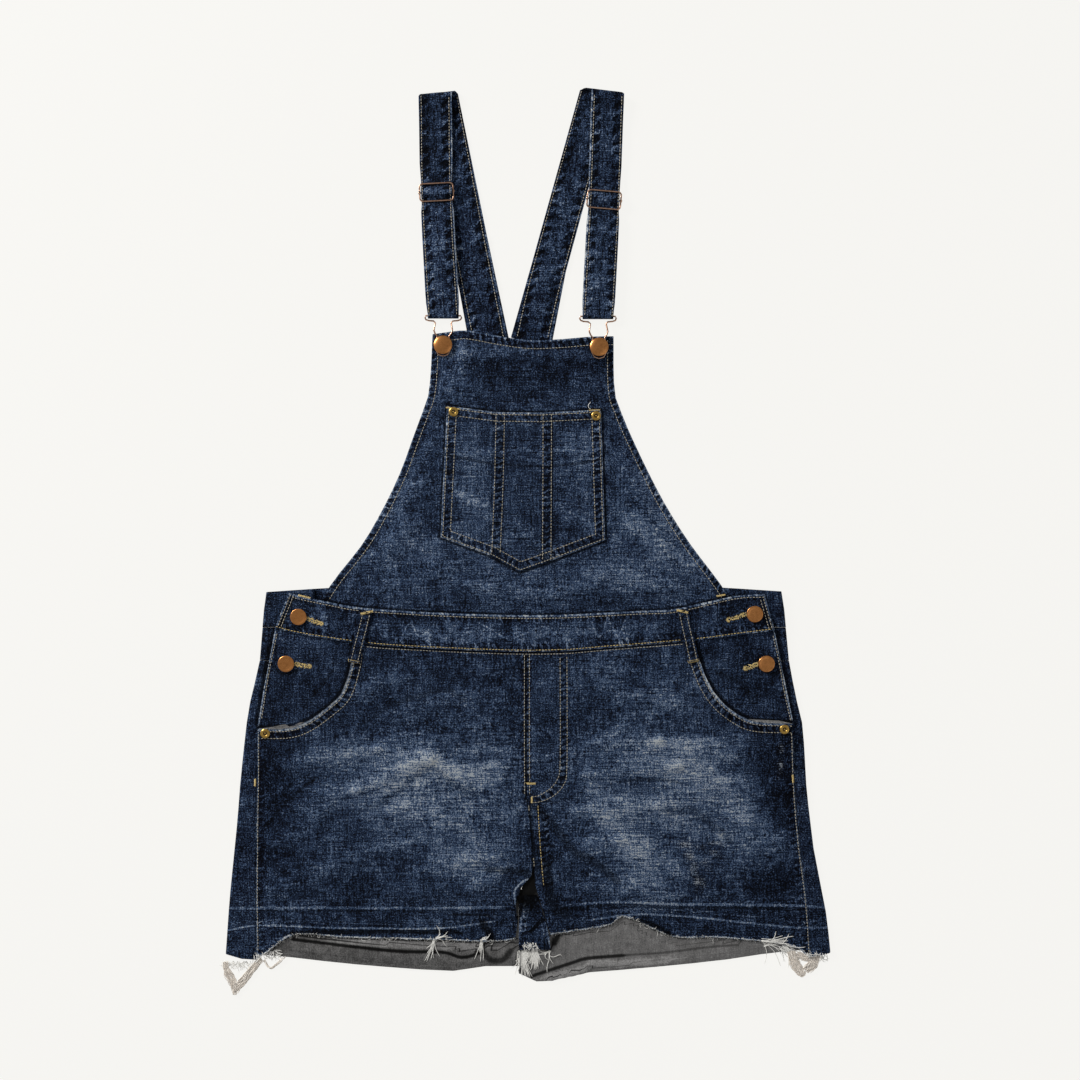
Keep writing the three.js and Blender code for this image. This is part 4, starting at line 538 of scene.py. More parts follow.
def nearest(x, y, line):
    """Signed distance to a line, positive on its left, and how far along it, in millimetres."""
    best = np.full(len(x), 1e6)
    side = np.ones(len(x))
    along = np.zeros(len(x))
    gone = 0.0
    for a, b in zip(line, line[1:]):
        run = b - a
        size = math.hypot(*run)
        t = np.clip(((x - a[0]) * run[0] + (y - a[1]) * run[1]) / size ** 2, 0, 1)
        away = np.hypot(x - a[0] - t * run[0], y - a[1] - t * run[1])
        close = away < best
        best = np.where(close, away, best)
        side = np.where(close, np.sign(run[0] * (y - a[1]) - run[1] * (x - a[0])), side)
        along = np.where(close, gone + t * size, along)
        gone += size
    return best * np.where(side == 0, 1, side), along


def ripple(x, y, size, seed):
    """Smooth random heights from -1 to 1, in bumps of about one size."""
    grid = np.random.default_rng(seed).uniform(-1, 1, (256, 256))
    u, v = x / size + 100, y / size + 100
    i, j = np.floor(u).astype(int), np.floor(v).astype(int)
    a, b = u - i, v - j
    a, b = a * a * (3 - 2 * a), b * b * (3 - 2 * b)
    low = grid[i % 256, j % 256] * (1 - a) + grid[(i + 1) % 256, j % 256] * a
    high = grid[i % 256, (j + 1) % 256] * (1 - a) + grid[(i + 1) % 256, (j + 1) % 256] * a
    return low * (1 - b) + high * b


def ridges(x, y, rows, sharp=1.0):
    """Height of a table of creases over each place."""
    height = np.zeros(len(x))
    for row, (ax, ay, bx, by, rise, wide) in enumerate(rows):
        bend = 3.0 * math.sin(row * 2.3)
        span = math.hypot(bx - ax, by - ay)
        run = ((bx - ax) / span, (by - ay) / span)
        s = (x - ax) * run[0] + (y - ay) * run[1]
        t = np.clip(s / span, 0, 1)
        d = run[0] * (y - ay) - run[1] * (x - ax) - bend * np.sin(np.pi * t)
        past = np.maximum(np.maximum(-s, s - span), 0)
        away = np.hypot(d, past) / (wide * (0.65 + 0.7 * np.sin(np.pi * t)))
        height += rise * np.exp(-away ** 2) * (1 - 0.35 * sharp * (d > 0) * np.minimum(away, 1))
    return height


def squared(x, y, mx, my, half_x, half_y, turn):
    """Squared distance from the middle of a turned ellipse, in its half sizes."""
    c, s = math.cos(math.radians(turn)), math.sin(math.radians(turn))
    u = ((x - mx) * c + (y - my) * s) / half_x
    v = (-(x - mx) * s + (y - my) * c) / half_y
    return u * u + v * v


def washed(x, y, group):
    """How pale the wash has left each place, with the painted light and shade rows of the bib's top
    fold, without the creases.
    """
    pale = np.zeros(len(x))
    for *spot, amount in FADES.get(group, ()):
        pale += amount * np.exp(-squared(x, y, *spot) ** 1.3)
    if group == "legs":
        pale += ridges(x, y, WHISKERS, 0.5)
    return pale


# Cloth

# How pale the wash has left each part
PALE = {"legs": 0.275, "bib": 0.3, "band": 0.255, "straps": 0.26, "back": 0.22,
        "band_back": 0.19, "loops": 0.2}
PUCKER_PITCH = 6.6  # from one pucker of a seam to the next
ROW_SHIFT, BAND_SHIFT = 37, 11  # so that the puckers of two bands never line up
TWILL_PITCH = 0.95  # from one twill line to the next
RIB_PITCH = 0.62  # from one warp rib to the next
STRAP_STRETCH = 0.55  # how close the puckers of a strap are, beside those of a seam
BACK_FLOOR = 0.3  # the back's underside is rounded up to this level
STRAP_REACH = 19  # a strap's front run is this wide to each side, and above this level
STRAP_LEVEL = 2.6
WELD = 0.004  # corners of a solid closer than this are one
SHARP = 1.05  # edges of a panel that turn more than this, in radians, are rounded
LEVEL_FACE = 0.75  # upward part of the normal of a face that counts as lying flat
# The low folds and fine waves are painted paler where they stand higher: a painted highlight
FOLD_RISE = 0.35  # height of the low folds, and how much paler they are
FOLD_PALE = 0.09
WAVE_PALE = 0.05  # how much paler the fine waves are
MEAN_CREASE = 0.25  # height of a crease that is as pale as the cloth round it
RAGGED = 0.5  # how far a raw edge wanders

# How far the creases of each part stand up, and how much paler their tops are: partly worn pale,
# partly a painted highlight
BOLD = {"legs": 2.0, "bib": 2.1, "band": 2.6, "straps": 2.2, "back": 1.0}
CREST = {"legs": 0.2, "bib": 0.2, "band": 0.3, "straps": 0.24, "back": 0.1, "band_back": 0,
         "loops": 0}


def on_run(line, x, y, z):
    """Whether each place of a strap is on this run of it. The front run is the upper one."""
    strap, run = line.rsplit(" ", 1)
    away, _ = nearest(x, y, guide(strap + " front"))
    upper = (np.abs(away) < STRAP_REACH) & (z > STRAP_LEVEL)
    return upper if run == "front" else ~upper


def seam_field(panel, x, y, z):
    """Per place: distance across the nearest puckered band, place along it, and its depth."""
    across, along, depth = np.full(len(x), 3.0), np.zeros(len(x)), np.zeros(len(x))
    for row, seam in enumerate(SEAMS):
        if panel not in seam.on.split() or not seam.band:
            continue
        middle, half, strong = seam.band
        mine = on_run(seam.line, x, y, z) if seam.edge else np.ones(len(x), bool)
        for k, at in enumerate((-seam.edge, seam.edge) if seam.edge else (middle,)):
            d, s = nearest(x, y, guide(seam.line, at))
            d = d / half
            near = mine & (np.abs(d) < np.abs(across))
            across = np.where(near, d, across)
            along = np.where(near, s + ROW_SHIFT * row + BAND_SHIFT * k, along)
            depth = np.where(near, strong, depth)
    return across, along, depth


def line_field(table, panel, x, y, z):
    """Per place: distance from the nearest line of a table in half widths, and its strength."""
    away, strength = np.full(len(x), 6.0), np.zeros(len(x))
    for line, offset, half, strong in table.get(panel, ()):
        d = nearest(x, y, guide(line, offset))[0] / half
        near = np.abs(d) < np.abs(away)
        if line.startswith("strap"):
            near &= on_run(line, x, y, z)
        away = np.where(near, d, away)
        strength = np.where(near, strong, strength)
    return away, strength


def evened(panel, widest):
    """A copy of a panel's solid, its triangles joined where they are nearly flat."""
    bm = bmesh.new()
    bm.from_mesh(NODES[panel].data)
    bmesh.ops.remove_doubles(bm, verts=bm.verts, dist=WELD * MM)
    bmesh.ops.join_triangles(bm, faces=bm.faces, angle_face_threshold=0.6,
                             angle_shape_threshold=widest)
    return bm


def fine_mesh(panel, spacing, rim):
    """A closed copy of a panel in even small faces, with round rims and softened steps."""
    bm = evened(panel, 1.5)
    corners = [e for e in bm.edges if len(e.link_faces) == 2 and e.calc_face_angle(0) > SHARP]
    bmesh.ops.bevel(bm, geom=corners, offset=rim, segments=2, profile=0.5, affect="EDGES",
                    material=-1, clamp_overlap=True)
    for _ in range(6):
        long_edges = [e for e in bm.edges if e.calc_length() > 1.45 * spacing]
        if not long_edges:
            break
        bmesh.ops.subdivide_edges(bm, edges=long_edges, cuts=1, use_grid_fill=True)
    flat = [v for v in bm.verts if all(abs(f.normal.z) > LEVEL_FACE for f in v.link_faces)]
    for _ in range(4):
        bmesh.ops.smooth_vert(bm, verts=flat, factor=0.5, use_axis_z=True)
    bm.normal_update()
    return mesh_of(bm, "cloth_" + panel)


def read(items, name, width):
    values = np.empty(len(items) * width, np.float32)
    items.foreach_get(name, values)
    return values.reshape(-1, width).astype(float) if width > 1 else values.astype(float)


def store(mesh, name, *columns):
    """Two or three values of each vertex, as a vector that the materials read."""
    values = np.zeros((len(mesh.vertices), 3), np.float32)
    values[:, :len(columns)] = np.column_stack(columns)
    mesh.attributes.new(name, "FLOAT_VECTOR", "POINT").data.foreach_set("vector", values.ravel())


def linked(name, data):
    obj = bpy.data.objects.new(name, data)
    bpy.context.scene.collection.objects.link(obj)
    return obj


def smoothed(mesh, *materials):
    for material in materials:
        mesh.materials.append(material)
    mesh.polygons.foreach_set("use_smooth", np.ones(len(mesh.polygons), bool))
    return mesh


def mesh_of(bm, name, *materials):
    """The smooth mesh of a bmesh, which is freed."""
    mesh = bpy.data.meshes.new(name)
    bm.to_mesh(mesh)
    bm.free()
    return smoothed(mesh, *materials)


def shown(name, mesh, slot, *replaced):
    """A mesh as a piece of the garment, in place of the solids named."""
    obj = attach(linked(name, mesh), "root")
    if replaced:
        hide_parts(*replaced)
    return obj


def soft_folds(group, x, y):
    """Low folds of a part, which run across the band and straps and slanting on bib and legs."""
    if group in ("band", "straps"):
        return ripple(x, y * 0.4, 5.5, 11) + 0.6 * ripple(x + 0.5 * y, y * 0.3, 8, 12)
    if group in ("bib", "legs"):
        return (0.5 * ripple(x + 0.6 * y, y - 0.3 * x, 26, 13)
                + 0.5 * ripple(x * 0.6, y * 1.7, 22, 14))
    return np.zeros(len(x))


def crotch_lap(panel, x, y, z):
    """How far the inner edge of a back leg moves over, so that no floor shows at the crotch."""
    lap = np.clip((26 - np.abs(x)) / 14, 0, 1)
    if panel == "back_leg_left":
        return lap * np.where(y < -353.5, 0.75, np.where(y < -322, 3.0, 0.3))
    if panel == "back_leg_right":
        return -lap * np.where((y < -312) & (y > -353.5), 3.2 * (z < 2.2), 0.3 * (y > -312))
    return 0.0


def cloth(panel, group, fine=True, folded=False,
          inside_up=False):
    """One panel of the garment on its solid's form, creased, puckered and washed, with painted
    highlight on its raised places and painted shade along its shade lines.
    """
    settings = bpy.context.scene.overalls_cloth
    spacing = settings.front_spacing if fine else settings.back_spacing
    mesh = fine_mesh(panel, spacing, settings.rim)
    place = read(mesh.vertices, "co", 3) / MM
    tilt = np.float32(read(mesh.vertex_normals, "vector", 3)[:, 2])
    x, y, z = place.T.copy()
    facing = np.clip(tilt * 1.6, 0, 1)
    across, along, depth = seam_field(panel, x, y, z)
    if group == "straps":
        along = STRAP_STRETCH * along
    edge, edge_strength = line_field(WORN, panel, x, y, z)
    # Painted shade along this panel's lines of the shade table
    hollow = line_field(SHADE_LINES, panel, x, y, z)
    crease = ridges(x, y, CREASES.get(group, ()))
    clear = np.ones(len(x))
    for px, py, reach in KEEP_FLAT:
        clear *= 1 - np.exp(-(((x - px) ** 2 + (y - py) ** 2) / reach ** 2) ** 2)
    waves = ripple(x, y, 7, 3) * 0.5 + ripple(x, y, 15, 4) + ripple(x, y, 34, 5)
    folds = soft_folds(group, x, y)
    band = np.clip(1 - np.abs(across) ** 3, 0, 1)
    beat = np.cos(2 * np.pi * along / PUCKER_PITCH + 1.4 * across
                  + 1.1 * ripple(along, across, 9, 6))
    crumple = settings.crumple / MM * np.clip(0.4 * waves + 0.35, 0, 1.2)
    lift = BOLD.get(group, 1.7) * crease * clear + crumple * clear
    z = z + lift * (1 if group in ("legs", "bib", "band") else facing)
    z = z + FOLD_RISE * np.clip(folds, -0.6, 1.2) * facing * clear
    z = z + settings.pucker / MM * depth * band * beat * facing * clear
    place[:, 0] += crotch_lap(panel, x, y, z)
    place[:, 2] = np.maximum(z, BACK_FLOOR if group in ("back", "band_back") else 0)
    if panel.startswith(("front_leg", "back_leg")):
        ragged = np.exp(-np.maximum(np.abs(edge) - 1, 0)) * (np.abs(edge) < 3)
        place[:, 1] += RAGGED * ripple(x, y, 3, 8) * (np.abs(tilt) < LEVEL_FACE) * ragged
    mesh.vertices.foreach_set("co", (place * MM).astype(np.float32).ravel())
    # Paler where the cloth stands higher: on crease tops partly worn and partly a painted
    # highlight, on the low folds and fine waves a painted highlight
    pale = PALE[group] + washed(x, y, group) + CREST[group] * (crease - MEAN_CREASE)
    pale = pale + WAVE_PALE * waves + FOLD_PALE * folds
    store(mesh, "wash", pale, scuffed(x, y, panel))
    store(mesh, "seam", across, along, depth)
    store(mesh, "worn", edge, edge_strength)
    # The attribute hollow holds the painted shade
    store(mesh, "hollow", *hollow)
    smoothed(mesh, denim_material(), inside_material())
    up = read(mesh.polygons, "normal", 3)[:, 2]
    height = read(mesh.polygons, "center", 3)[:, 2] / MM
    if panel.startswith("strap") or panel == "waistband_back":
        hidden = np.zeros(len(up), bool)  # doubled cloth: denim on both faces
    elif inside_up or folded:
        hidden = (np.abs(up) > 0.7) & (height > 0.6) & (height < 2.9)
    else:
        hidden = up < -0.5
    mesh.polygons.foreach_set("material_index", hidden.astype(np.int32))
    mesh.update()
    obj = shown("cloth_" + panel, mesh, "denim_back" if folded or inside_up else "denim", panel)


# Places where metal holds the cloth flat: x, y and reach
KEEP_FLAT = (
    (-85, 196.5, 16), (70.5, 194.5, 16), (-228.7, -74.3, 15), (-241.4, -121.1, 15),
    (225.3, -71.5, 15), (237.2, -121.1, 15), (-74.5, 130, 9), (67.5, 126, 9), (-262, -190.4, 9),
    (255, -186.3, 9), (-91.6, 349, 22), (75.5, 341.5, 22), (-84.9, 226, 14), (69.4, 225.4, 14),
    (-161, -69.5, 12), (-164, -82, 12), (-167, -95, 12), (-170, -107, 12), (-173.5, -119.5, 12),
    (153.5, -68.5, 12), (156, -81, 12), (159, -94, 12), (162, -106, 12), (164.5, -118.5, 12),
)

# Rubbed and torn-up places of the right leg and at the pocket: middle, half sizes, turn, strength
SCUFFS = (
    (157, -301, 8, 4, 0, 0.55), (161, -312, 6, 8, 8, 0.5), (165, -325, 5, 9, 0, 0.55),
    (168, -338, 4, 8, 0, 0.55), (190, -300, 9, 3.5, 0, 0.6), (184, -309, 8, 5, -24, 0.42),
    (177, -319, 7, 7, 0, 0.38), (173, -340, 5, 6, 0, 0.45), (172, -304, 14, 3, -4, 0.4),
    (252, -206, 3, 6, 10, 0.42), (251, -224, 3.5, 8, -5, 0.42), (249, -232, 2, 4, 0, 0.35),
    (-246, -352, 5, 2, 0, 0.25), (120, -352, 6, 2, 10, 0.3),
)


def scuffed(x, y, panel):
    """How far the dye is rubbed off in the worn-through places."""
    bare = np.zeros(len(x))
    if panel.startswith("front_leg"):
        for *spot, amount in SCUFFS:
            bare = np.maximum(bare, amount * np.exp(-squared(x, y, *spot)))
    return bare


# Materials

def plug(tree, made, inputs):
    """Link or set the inputs of a node."""
    for key, value in inputs.items():
        if isinstance(value, bpy.types.NodeSocket):
            tree.links.new(value, made.inputs[key])
        else:
            made.inputs[key].default_value = value
    return made


def node(tree, kind, inputs=None, **settings):
    made = tree.nodes.new("ShaderNode" + kind)
    for key, value in settings.items():
        setattr(made, key, value)
    return plug(tree, made, inputs or {})


def figure(tree, operation, a, b=0.0, c=0.0, clamp=False):
    """The result of one sum."""
    return node(tree, "Math", {0: a, 1: b, 2: c}, operation=operation, use_clamp=clamp).outputs[0]


def times(tree, a, b, clamp=False):
    return figure(tree, "MULTIPLY", a, b, clamp=clamp)


def added(tree, total, *parts):
    """A total with each part added to it, times its weight."""
    for part, weight in parts:
        total = figure(tree, "MULTIPLY_ADD", part, weight, total)
    return total


def axes(tree, vector):
    return node(tree, "SeparateXYZ", {"Vector": vector}).outputs


def ranged(tree, value, low, high, to_low=0.0, to_high=1.0, smooth=False):
    """A value moved from one range into another, and kept inside it."""
    return node(tree, "MapRange", {"Value": value, "From Min": low, "From Max": high,
                                   "To Min": to_low, "To Max": to_high},
                interpolation_type="SMOOTHSTEP" if smooth else "LINEAR").outputs[0]


def stretched(tree, place, x, y, turn=0.0):
    return node(tree, "Mapping", {"Vector": place, "Scale": (x, y, 1.0),
                                  "Rotation": (0, 0, turn)}).outputs[0]


def grains(tree, place, scale, detail=2.0, rough=0.6):
    return node(tree, "TexNoise", {"Vector": place, "Scale": scale, "Detail": detail,
                                   "Roughness": rough}).outputs["Fac"]


def mixed(tree, share, a, b, blend="MIX"):
    made = node(tree, "Mix", {"Factor": share}, data_type="RGBA", blend_type=blend)
    for key, value in (("A", a), ("B", b)):
        socket = next(s for s in made.inputs if s.name == key and s.type == "RGBA")
        if isinstance(value, bpy.types.NodeSocket):
            tree.links.new(value, socket)
        else:
            socket.default_value = (*value, 1)
    return next(s for s in made.outputs if s.type == "RGBA")


def ramp(tree, value, *stops):
    made = node(tree, "ValToRGB", {"Fac": value})
    made.color_ramp.interpolation = "EASE"
    while len(made.color_ramp.elements) < len(stops):
        made.color_ramp.elements.new(0.5)
    for element, (at, tint) in zip(made.color_ramp.elements, stops):
        element.position = at
        element.color = (*tint, 1)
    return made.outputs["Color"]


def effect(name, vectors, outputs, **figures):
    """An empty node group with its vector inputs, its plain inputs and its plain outputs."""
    tree = bpy.data.node_groups.new(name, "ShaderNodeTree")
    for label in vectors:
        tree.interface.new_socket(label, in_out="INPUT", socket_type="NodeSocketVector")
    for label, default in figures.items():
        socket = tree.interface.new_socket(label, in_out="INPUT", socket_type="NodeSocketFloat")
        socket.default_value = default
    for label in outputs:
        tree.interface.new_socket(label, in_out="OUTPUT", socket_type="NodeSocketFloat")
    given = tree.nodes.new("NodeGroupInput").outputs
    return tree, given, tree.nodes.new("NodeGroupOutput")


def placed(tree, group, **inputs):
    made = tree.nodes.new("ShaderNodeGroup")
    made.node_tree = group
    return plug(tree, made, inputs).outputs


def weave_group():
    """Twill lines, slubs of warp and weft, and the mottle of a washed indigo cloth."""
    if "Twill weave" in bpy.data.node_groups:
        return bpy.data.node_groups["Twill weave"]
    tree, given, sink = effect("Twill weave", ("Place",),
                               ("Twill", "Warp", "Weft", "Mottle", "Cloud", "Height"))
    place = given["Place"]
    x, y, _ = axes(tree, place)
    across = added(tree, times(tree, x, 0.78), (y, 0.62))
    phase = added(tree, figure(tree, "DIVIDE", across, TWILL_PITCH),
                  (grains(tree, place, 0.25, 1.0), 1.5))
    twill = figure(tree, "SINE", times(tree, phase, 2 * math.pi))
    ribs = figure(tree, "SINE", times(tree, x, 2 * math.pi / RIB_PITCH))
    warp = ranged(tree, grains(tree, stretched(tree, place, 1.0, 0.07), 0.85, 3.0), 0.3, 0.7)
    weft = ranged(tree, grains(tree, stretched(tree, place, 0.05, 1.0), 0.8, 3.0), 0.3, 0.7)
    mottle = ranged(tree, grains(tree, place, 0.8, 3.0, 0.7), 0.3, 0.7)
    cloud = ranged(tree, grains(tree, place, 0.1, 4.0, 0.65), 0.28, 0.72)
    height = added(tree, times(tree, twill, 0.35), (ribs, 0.12), (mottle, 0.9))
    plug(tree, sink, {"Twill": twill, "Warp": warp, "Weft": weft, "Mottle": mottle,
                      "Cloud": cloud, "Height": height})
    return tree


def seam_group():
    """Puckers of a sewn band, worn pale lines, and painted shade along the shade lines, as stored
    on the cloth.
    """
    if "Seam wear" in bpy.data.node_groups:
        return bpy.data.node_groups["Seam wear"]
    tree, given, sink = effect("Seam wear", ("Place", "Seam", "Worn", "Hollow"),
                               ("Crest", "Band", "Line", "Light"))
    place = given["Place"]
    across, along, depth = axes(tree, given["Seam"])
    band = ranged(tree, figure(tree, "ABSOLUTE", across), 1.15, 0.75, smooth=True)
    phase = added(tree, times(tree, grains(tree, place, 0.16), 9.0), (across, 1.4),
                  (along, 2 * math.pi / PUCKER_PITCH))
    beat = added(tree, figure(tree, "COSINE", phase),
                 (figure(tree, "COSINE", times(tree, phase, 2.3)), 0.35))
    uneven = ranged(tree, grains(tree, place, 0.09), 0.36, 0.6, 0.25, 1.15)
    crest = times(tree, times(tree, times(tree, beat, uneven), band), depth)
    rough = grains(tree, place, 0.5, 3.0, 0.8)
    away, strength, _ = axes(tree, given["Worn"])
    away = figure(tree, "SUBTRACT", figure(tree, "ABSOLUTE", away), added(tree, 0.25, (rough, 1.6)))
    line = times(tree, ranged(tree, away, 0.25, -0.35, smooth=True), strength)
    # Painted shade: full near a shade line, gone past 1.7 half widths; Light is what is left of the
    # colour
    away, deep, _ = axes(tree, given["Hollow"])
    away = added(tree, figure(tree, "ABSOLUTE", away), (rough, 0.7))
    shade = times(tree, ranged(tree, away, 1.7, 0.75, smooth=True), deep)
    plug(tree, sink, {"Crest": crest, "Band": times(tree, band, depth), "Line": line,
                      "Light": figure(tree, "SUBTRACT", 1.0, shade)})
    return tree


def started(name):
    """A new material with its shader and the place on the garment in millimetres."""
    material = bpy.data.materials.new(name)
    material.use_nodes = True
    tree = material.node_tree
    place = node(tree, "TexCoord").outputs["Object"]
    place = node(tree, "VectorMath", {0: place, 3: 1000.0}, operation="SCALE").outputs[0]
    return material, tree, tree.nodes["Principled BSDF"], place


def bumped(tree, shader, height, strength, distance):
    bump = node(tree, "Bump", {"Height": height, "Strength": strength, "Distance": distance})
    tree.links.new(bump.outputs[0], shader.inputs["Normal"])


def cloth_effects(tree, place):
    """The weave, and the seams, worn lines and painted shade stored on the cloth."""
    fields = {label: node(tree, "Attribute", attribute_name=label.lower()).outputs["Vector"]
              for label in ("Seam", "Worn", "Hollow")}
    weave = placed(tree, weave_group(), Place=place)
    return weave, placed(tree, seam_group(), Place=place, **fields)


def denim_material():
    """Dark indigo twill, washed, faded, rubbed pale on its edges and crests, the crease crests
    partly as a painted highlight, and darkened by the painted shade stored on the cloth.
    """
    if "Washed denim" in bpy.data.materials:
        return bpy.data.materials["Washed denim"]
    tone = bpy.context.scene.overalls_cloth
    material, tree, shader, place = started("Washed denim")
    weave, seam = cloth_effects(tree, place)
    pale, scuff, _ = axes(tree, node(tree, "Attribute", attribute_name="wash").outputs["Vector"])
    mottle, cloud, warp, weft = (figure(tree, "SUBTRACT", weave[key], 0.5)
                                 for key in ("Mottle", "Cloud", "Warp", "Weft"))
    streak = times(tree, weft, ranged(tree, pale, 0.2, 0.8, 0.35, 1.0))
    value = added(tree, pale, (mottle, 0.95), (cloud, 0.3), (warp, 0.36), (streak, 0.75),
                  (weave["Twill"], 0.05), (seam["Crest"], 0.28), (seam["Band"], -0.12),
                  (seam["Line"], 0.7))
    dyed = ramp(tree, value, (0.0, tone.night), (0.28, tone.indigo), (0.5, tone.blue),
                (0.78, tone.faded), (1.0, tone.bare))
    threads = added(tree, scuff, (weft, 0.8), (mottle, 1.1))
    bare = times(tree, ranged(tree, threads, 0.35, 0.85, smooth=True),
                 ranged(tree, scuff, 0.02, 0.3))
    rubbed = mixed(tree, ranged(tree, weave["Warp"], 0.2, 0.8), tone.faded, tone.bare)
    tint = mixed(tree, times(tree, bare, 0.85), dyed, rubbed)
    # Painted shade multiplies the colour
    tree.links.new(mixed(tree, 1.0, tint, seam["Light"], "MULTIPLY"), shader.inputs["Base Color"])
    tree.links.new(ranged(tree, weave["Mottle"], 0, 1, 0.78, 0.95), shader.inputs["Roughness"])
    shader.inputs["Specular IOR Level"].default_value = 0.07
    height = added(tree, weave["Height"], (seam["Crest"], 2.2), (weave["Cloud"], 1.4))
    bumped(tree, shader, height, 0.85, 0.0004)
    return material


def inside_material():
    """Grey inner face of the same cloth: the undyed weft shows, with a little blue warp, darkened
    by the painted shade stored on the cloth.
    """
    if "Denim inside" in bpy.data.materials:
        return bpy.data.materials["Denim inside"]
    tone = bpy.context.scene.overalls_cloth.inside
    material, tree, shader, place = started("Denim inside")
    weave, seam = cloth_effects(tree, place)
    value = added(tree, times(tree, weave["Warp"], 0.22), (weave["Mottle"], 0.42),
                  (seam["Line"], 0.45))
    side = ranged(tree, axes(tree, place)[0], -60, 80, -0.14, 0.06, smooth=True)
    value = added(tree, figure(tree, "ADD", value, side), (weave["Cloud"], 0.3),
                  (weave["Twill"], 0.08))
    face = ramp(tree, value, (0.15, tuple(0.4 * c for c in tone)), (0.5, tone),
                (0.95, tuple(2.1 * c for c in tone)))
    # Painted shade multiplies the colour
    tree.links.new(mixed(tree, 1.0, face, seam["Light"], "MULTIPLY"), shader.inputs["Base Color"])
    shader.inputs["Roughness"].default_value = 0.95
    shader.inputs["Specular IOR Level"].default_value = 0.15
    bumped(tree, shader, weave["Height"], 0.7, 0.0003)
    return material


def thread_material(name, tint, fuzz=0.25):
    """Twisted sewing thread or loose cotton, a little dirty along its length."""
    if name in bpy.data.materials:
        return bpy.data.materials[name]
    material, tree, shader, place = started(name)
    dark = tuple((1 - 2 * fuzz) * c for c in tint)
    light = tuple(min(1, 1.15 * c) for c in tint)
    tint = ramp(tree, grains(tree, place, 0.9), (0.3, dark), (0.55, tint), (0.8, light))
    tree.links.new(tint, shader.inputs["Base Color"])
    shader.inputs["Roughness"].default_value = 0.8
    shader.inputs["Specular IOR Level"].default_value = 0.3
    x, y, _ = axes(tree, place)
    twist = figure(tree, "SINE", times(tree, figure(tree, "ADD", x, y), 11.0))
    bumped(tree, shader, twist, 0.4, 0.0001)
    return material


def patina_group():
    """Tarnish and dirt in random spots, and fine scratches, on old metal."""
    if "Patina" in bpy.data.node_groups:
        return bpy.data.node_groups["Patina"]
    tree, given, sink = effect("Patina", ("Place",), ("Tarnish", "Roughness", "Height"), Amount=0.5)
    place = given["Place"]
    spots = grains(tree, place, 0.35, 4.0, 0.7)
    fine = grains(tree, place, 2.2, 3.0, 0.6)
    scratch = grains(tree, stretched(tree, place, 3.0, 0.25, 0.6), 1.2)
    tarnish = times(tree, ranged(tree, spots, 0.38, 0.7), given["Amount"], clamp=True)
    rough = added(tree, ranged(tree, spots, 0.3, 0.7, 0.16, 0.3), (fine, 0.18))
    plug(tree, sink, {"Tarnish": tarnish, "Roughness": rough,
                      "Height": added(tree, fine, (scratch, 0.5))})
    return tree


def metal_material(name, tint, amount):
    if name in bpy.data.materials:
        return bpy.data.materials[name]
    material, tree, shader, place = started(name)
    patina = placed(tree, patina_group(), Place=place, Amount=amount)
    dark = tuple(0.35 * c * w for c, w in zip(tint, (1.0, 0.85, 0.7)))
    tree.links.new(mixed(tree, patina["Tarnish"], tint, dark), shader.inputs["Base Color"])
    tree.links.new(patina["Roughness"], shader.inputs["Roughness"])
    shader.inputs["Metallic"].default_value = 1.0
    bumped(tree, shader, patina["Height"], 0.25, 0.0001)
    return material


# Thread

class Seat:
    """Where the finished cloth lies: the piece, height and normal met from above or from below."""

    def __init__(self):
        bm = bmesh.new()
        self.names, self.ends = [], []
        for obj in bpy.context.scene.objects:
            if obj.name.startswith("cloth_"):
                bm.from_mesh(obj.data)
                self.names.append(obj.name[len("cloth_"):])
                self.ends.append(len(bm.faces))
        self.tree = BVHTree.FromBMesh(bm)
        bm.free()

    def at(self, x, y, under=False):
        start = Vector((x * MM, y * MM, -0.05 if under else 0.05))
        spot, normal, face, _ = self.tree.ray_cast(start, Vector((0, 0, 1 if under else -1)))
        if spot is None:
            return None, None, None
        return self.names[int(np.searchsorted(self.ends, face, side="right"))], spot, normal


def stitch_shape():
    """One stitch as a small rounded grain, one unit long, wide and high."""
    bm = bmesh.new()
    bmesh.ops.create_uvsphere(bm, u_segments=6, v_segments=4, radius=0.5,
                              matrix=Matrix.Rotation(math.pi / 2, 4, "Y"))
    bm.verts.ensure_lookup_table()
    places = np.array([v.co for v in bm.verts])
    faces = [[v.index for v in f.verts] for f in bm.faces]
    bm.free()
    return places, faces


def sewn(name, frames, material, slot):
    """One mesh of many stitches. A frame is a middle, the three half-turned axes and its sizes."""
    shape, faces = stitch_shape()
    middles = np.array([f[0] for f in frames])
    turns = np.array([[f[1] * f[4][0], f[2] * f[4][1], f[3] * f[4][2]] for f in frames])
    places = middles[:, None, :] + np.einsum("vk,nkc->nvc", shape, turns)
    starts = range(0, len(frames) * len(shape), len(shape))
    mesh = bpy.data.meshes.new(name)
    mesh.from_pydata(places.reshape(-1, 3).tolist(), [],
                     [[i + start for i in face] for start in starts for face in faces])
    shown(name, smoothed(mesh, material), slot)


def frame_between(a, b, normal, sizes, rise):
    """The frame of a stitch that runs from a to b on cloth of this normal."""
    run = (b - a).normalized()
    side = normal.cross(run).normalized()
    up = run.cross(side).normalized()
    middle = (a + b) / 2 + up * rise
    return np.array(middle), np.array(run), np.array(side), np.array(up), sizes


def walk(line, pitch):
    """Places every pitch along a line, in millimetres."""
    runs = np.linalg.norm(np.diff(line, axis=0), axis=1)
    at = np.concatenate([[0], np.cumsum(runs)])
    steps = np.arange(pitch * 0.5, at[-1], pitch)
    return np.column_stack([np.interp(steps, at, line[:, 0]), np.interp(steps, at, line[:, 1])])


STITCH_SLANT = 0.06  # how far stitches turn off their row
STITCH_RISE = 0.08  # how far their middle stands over the cloth


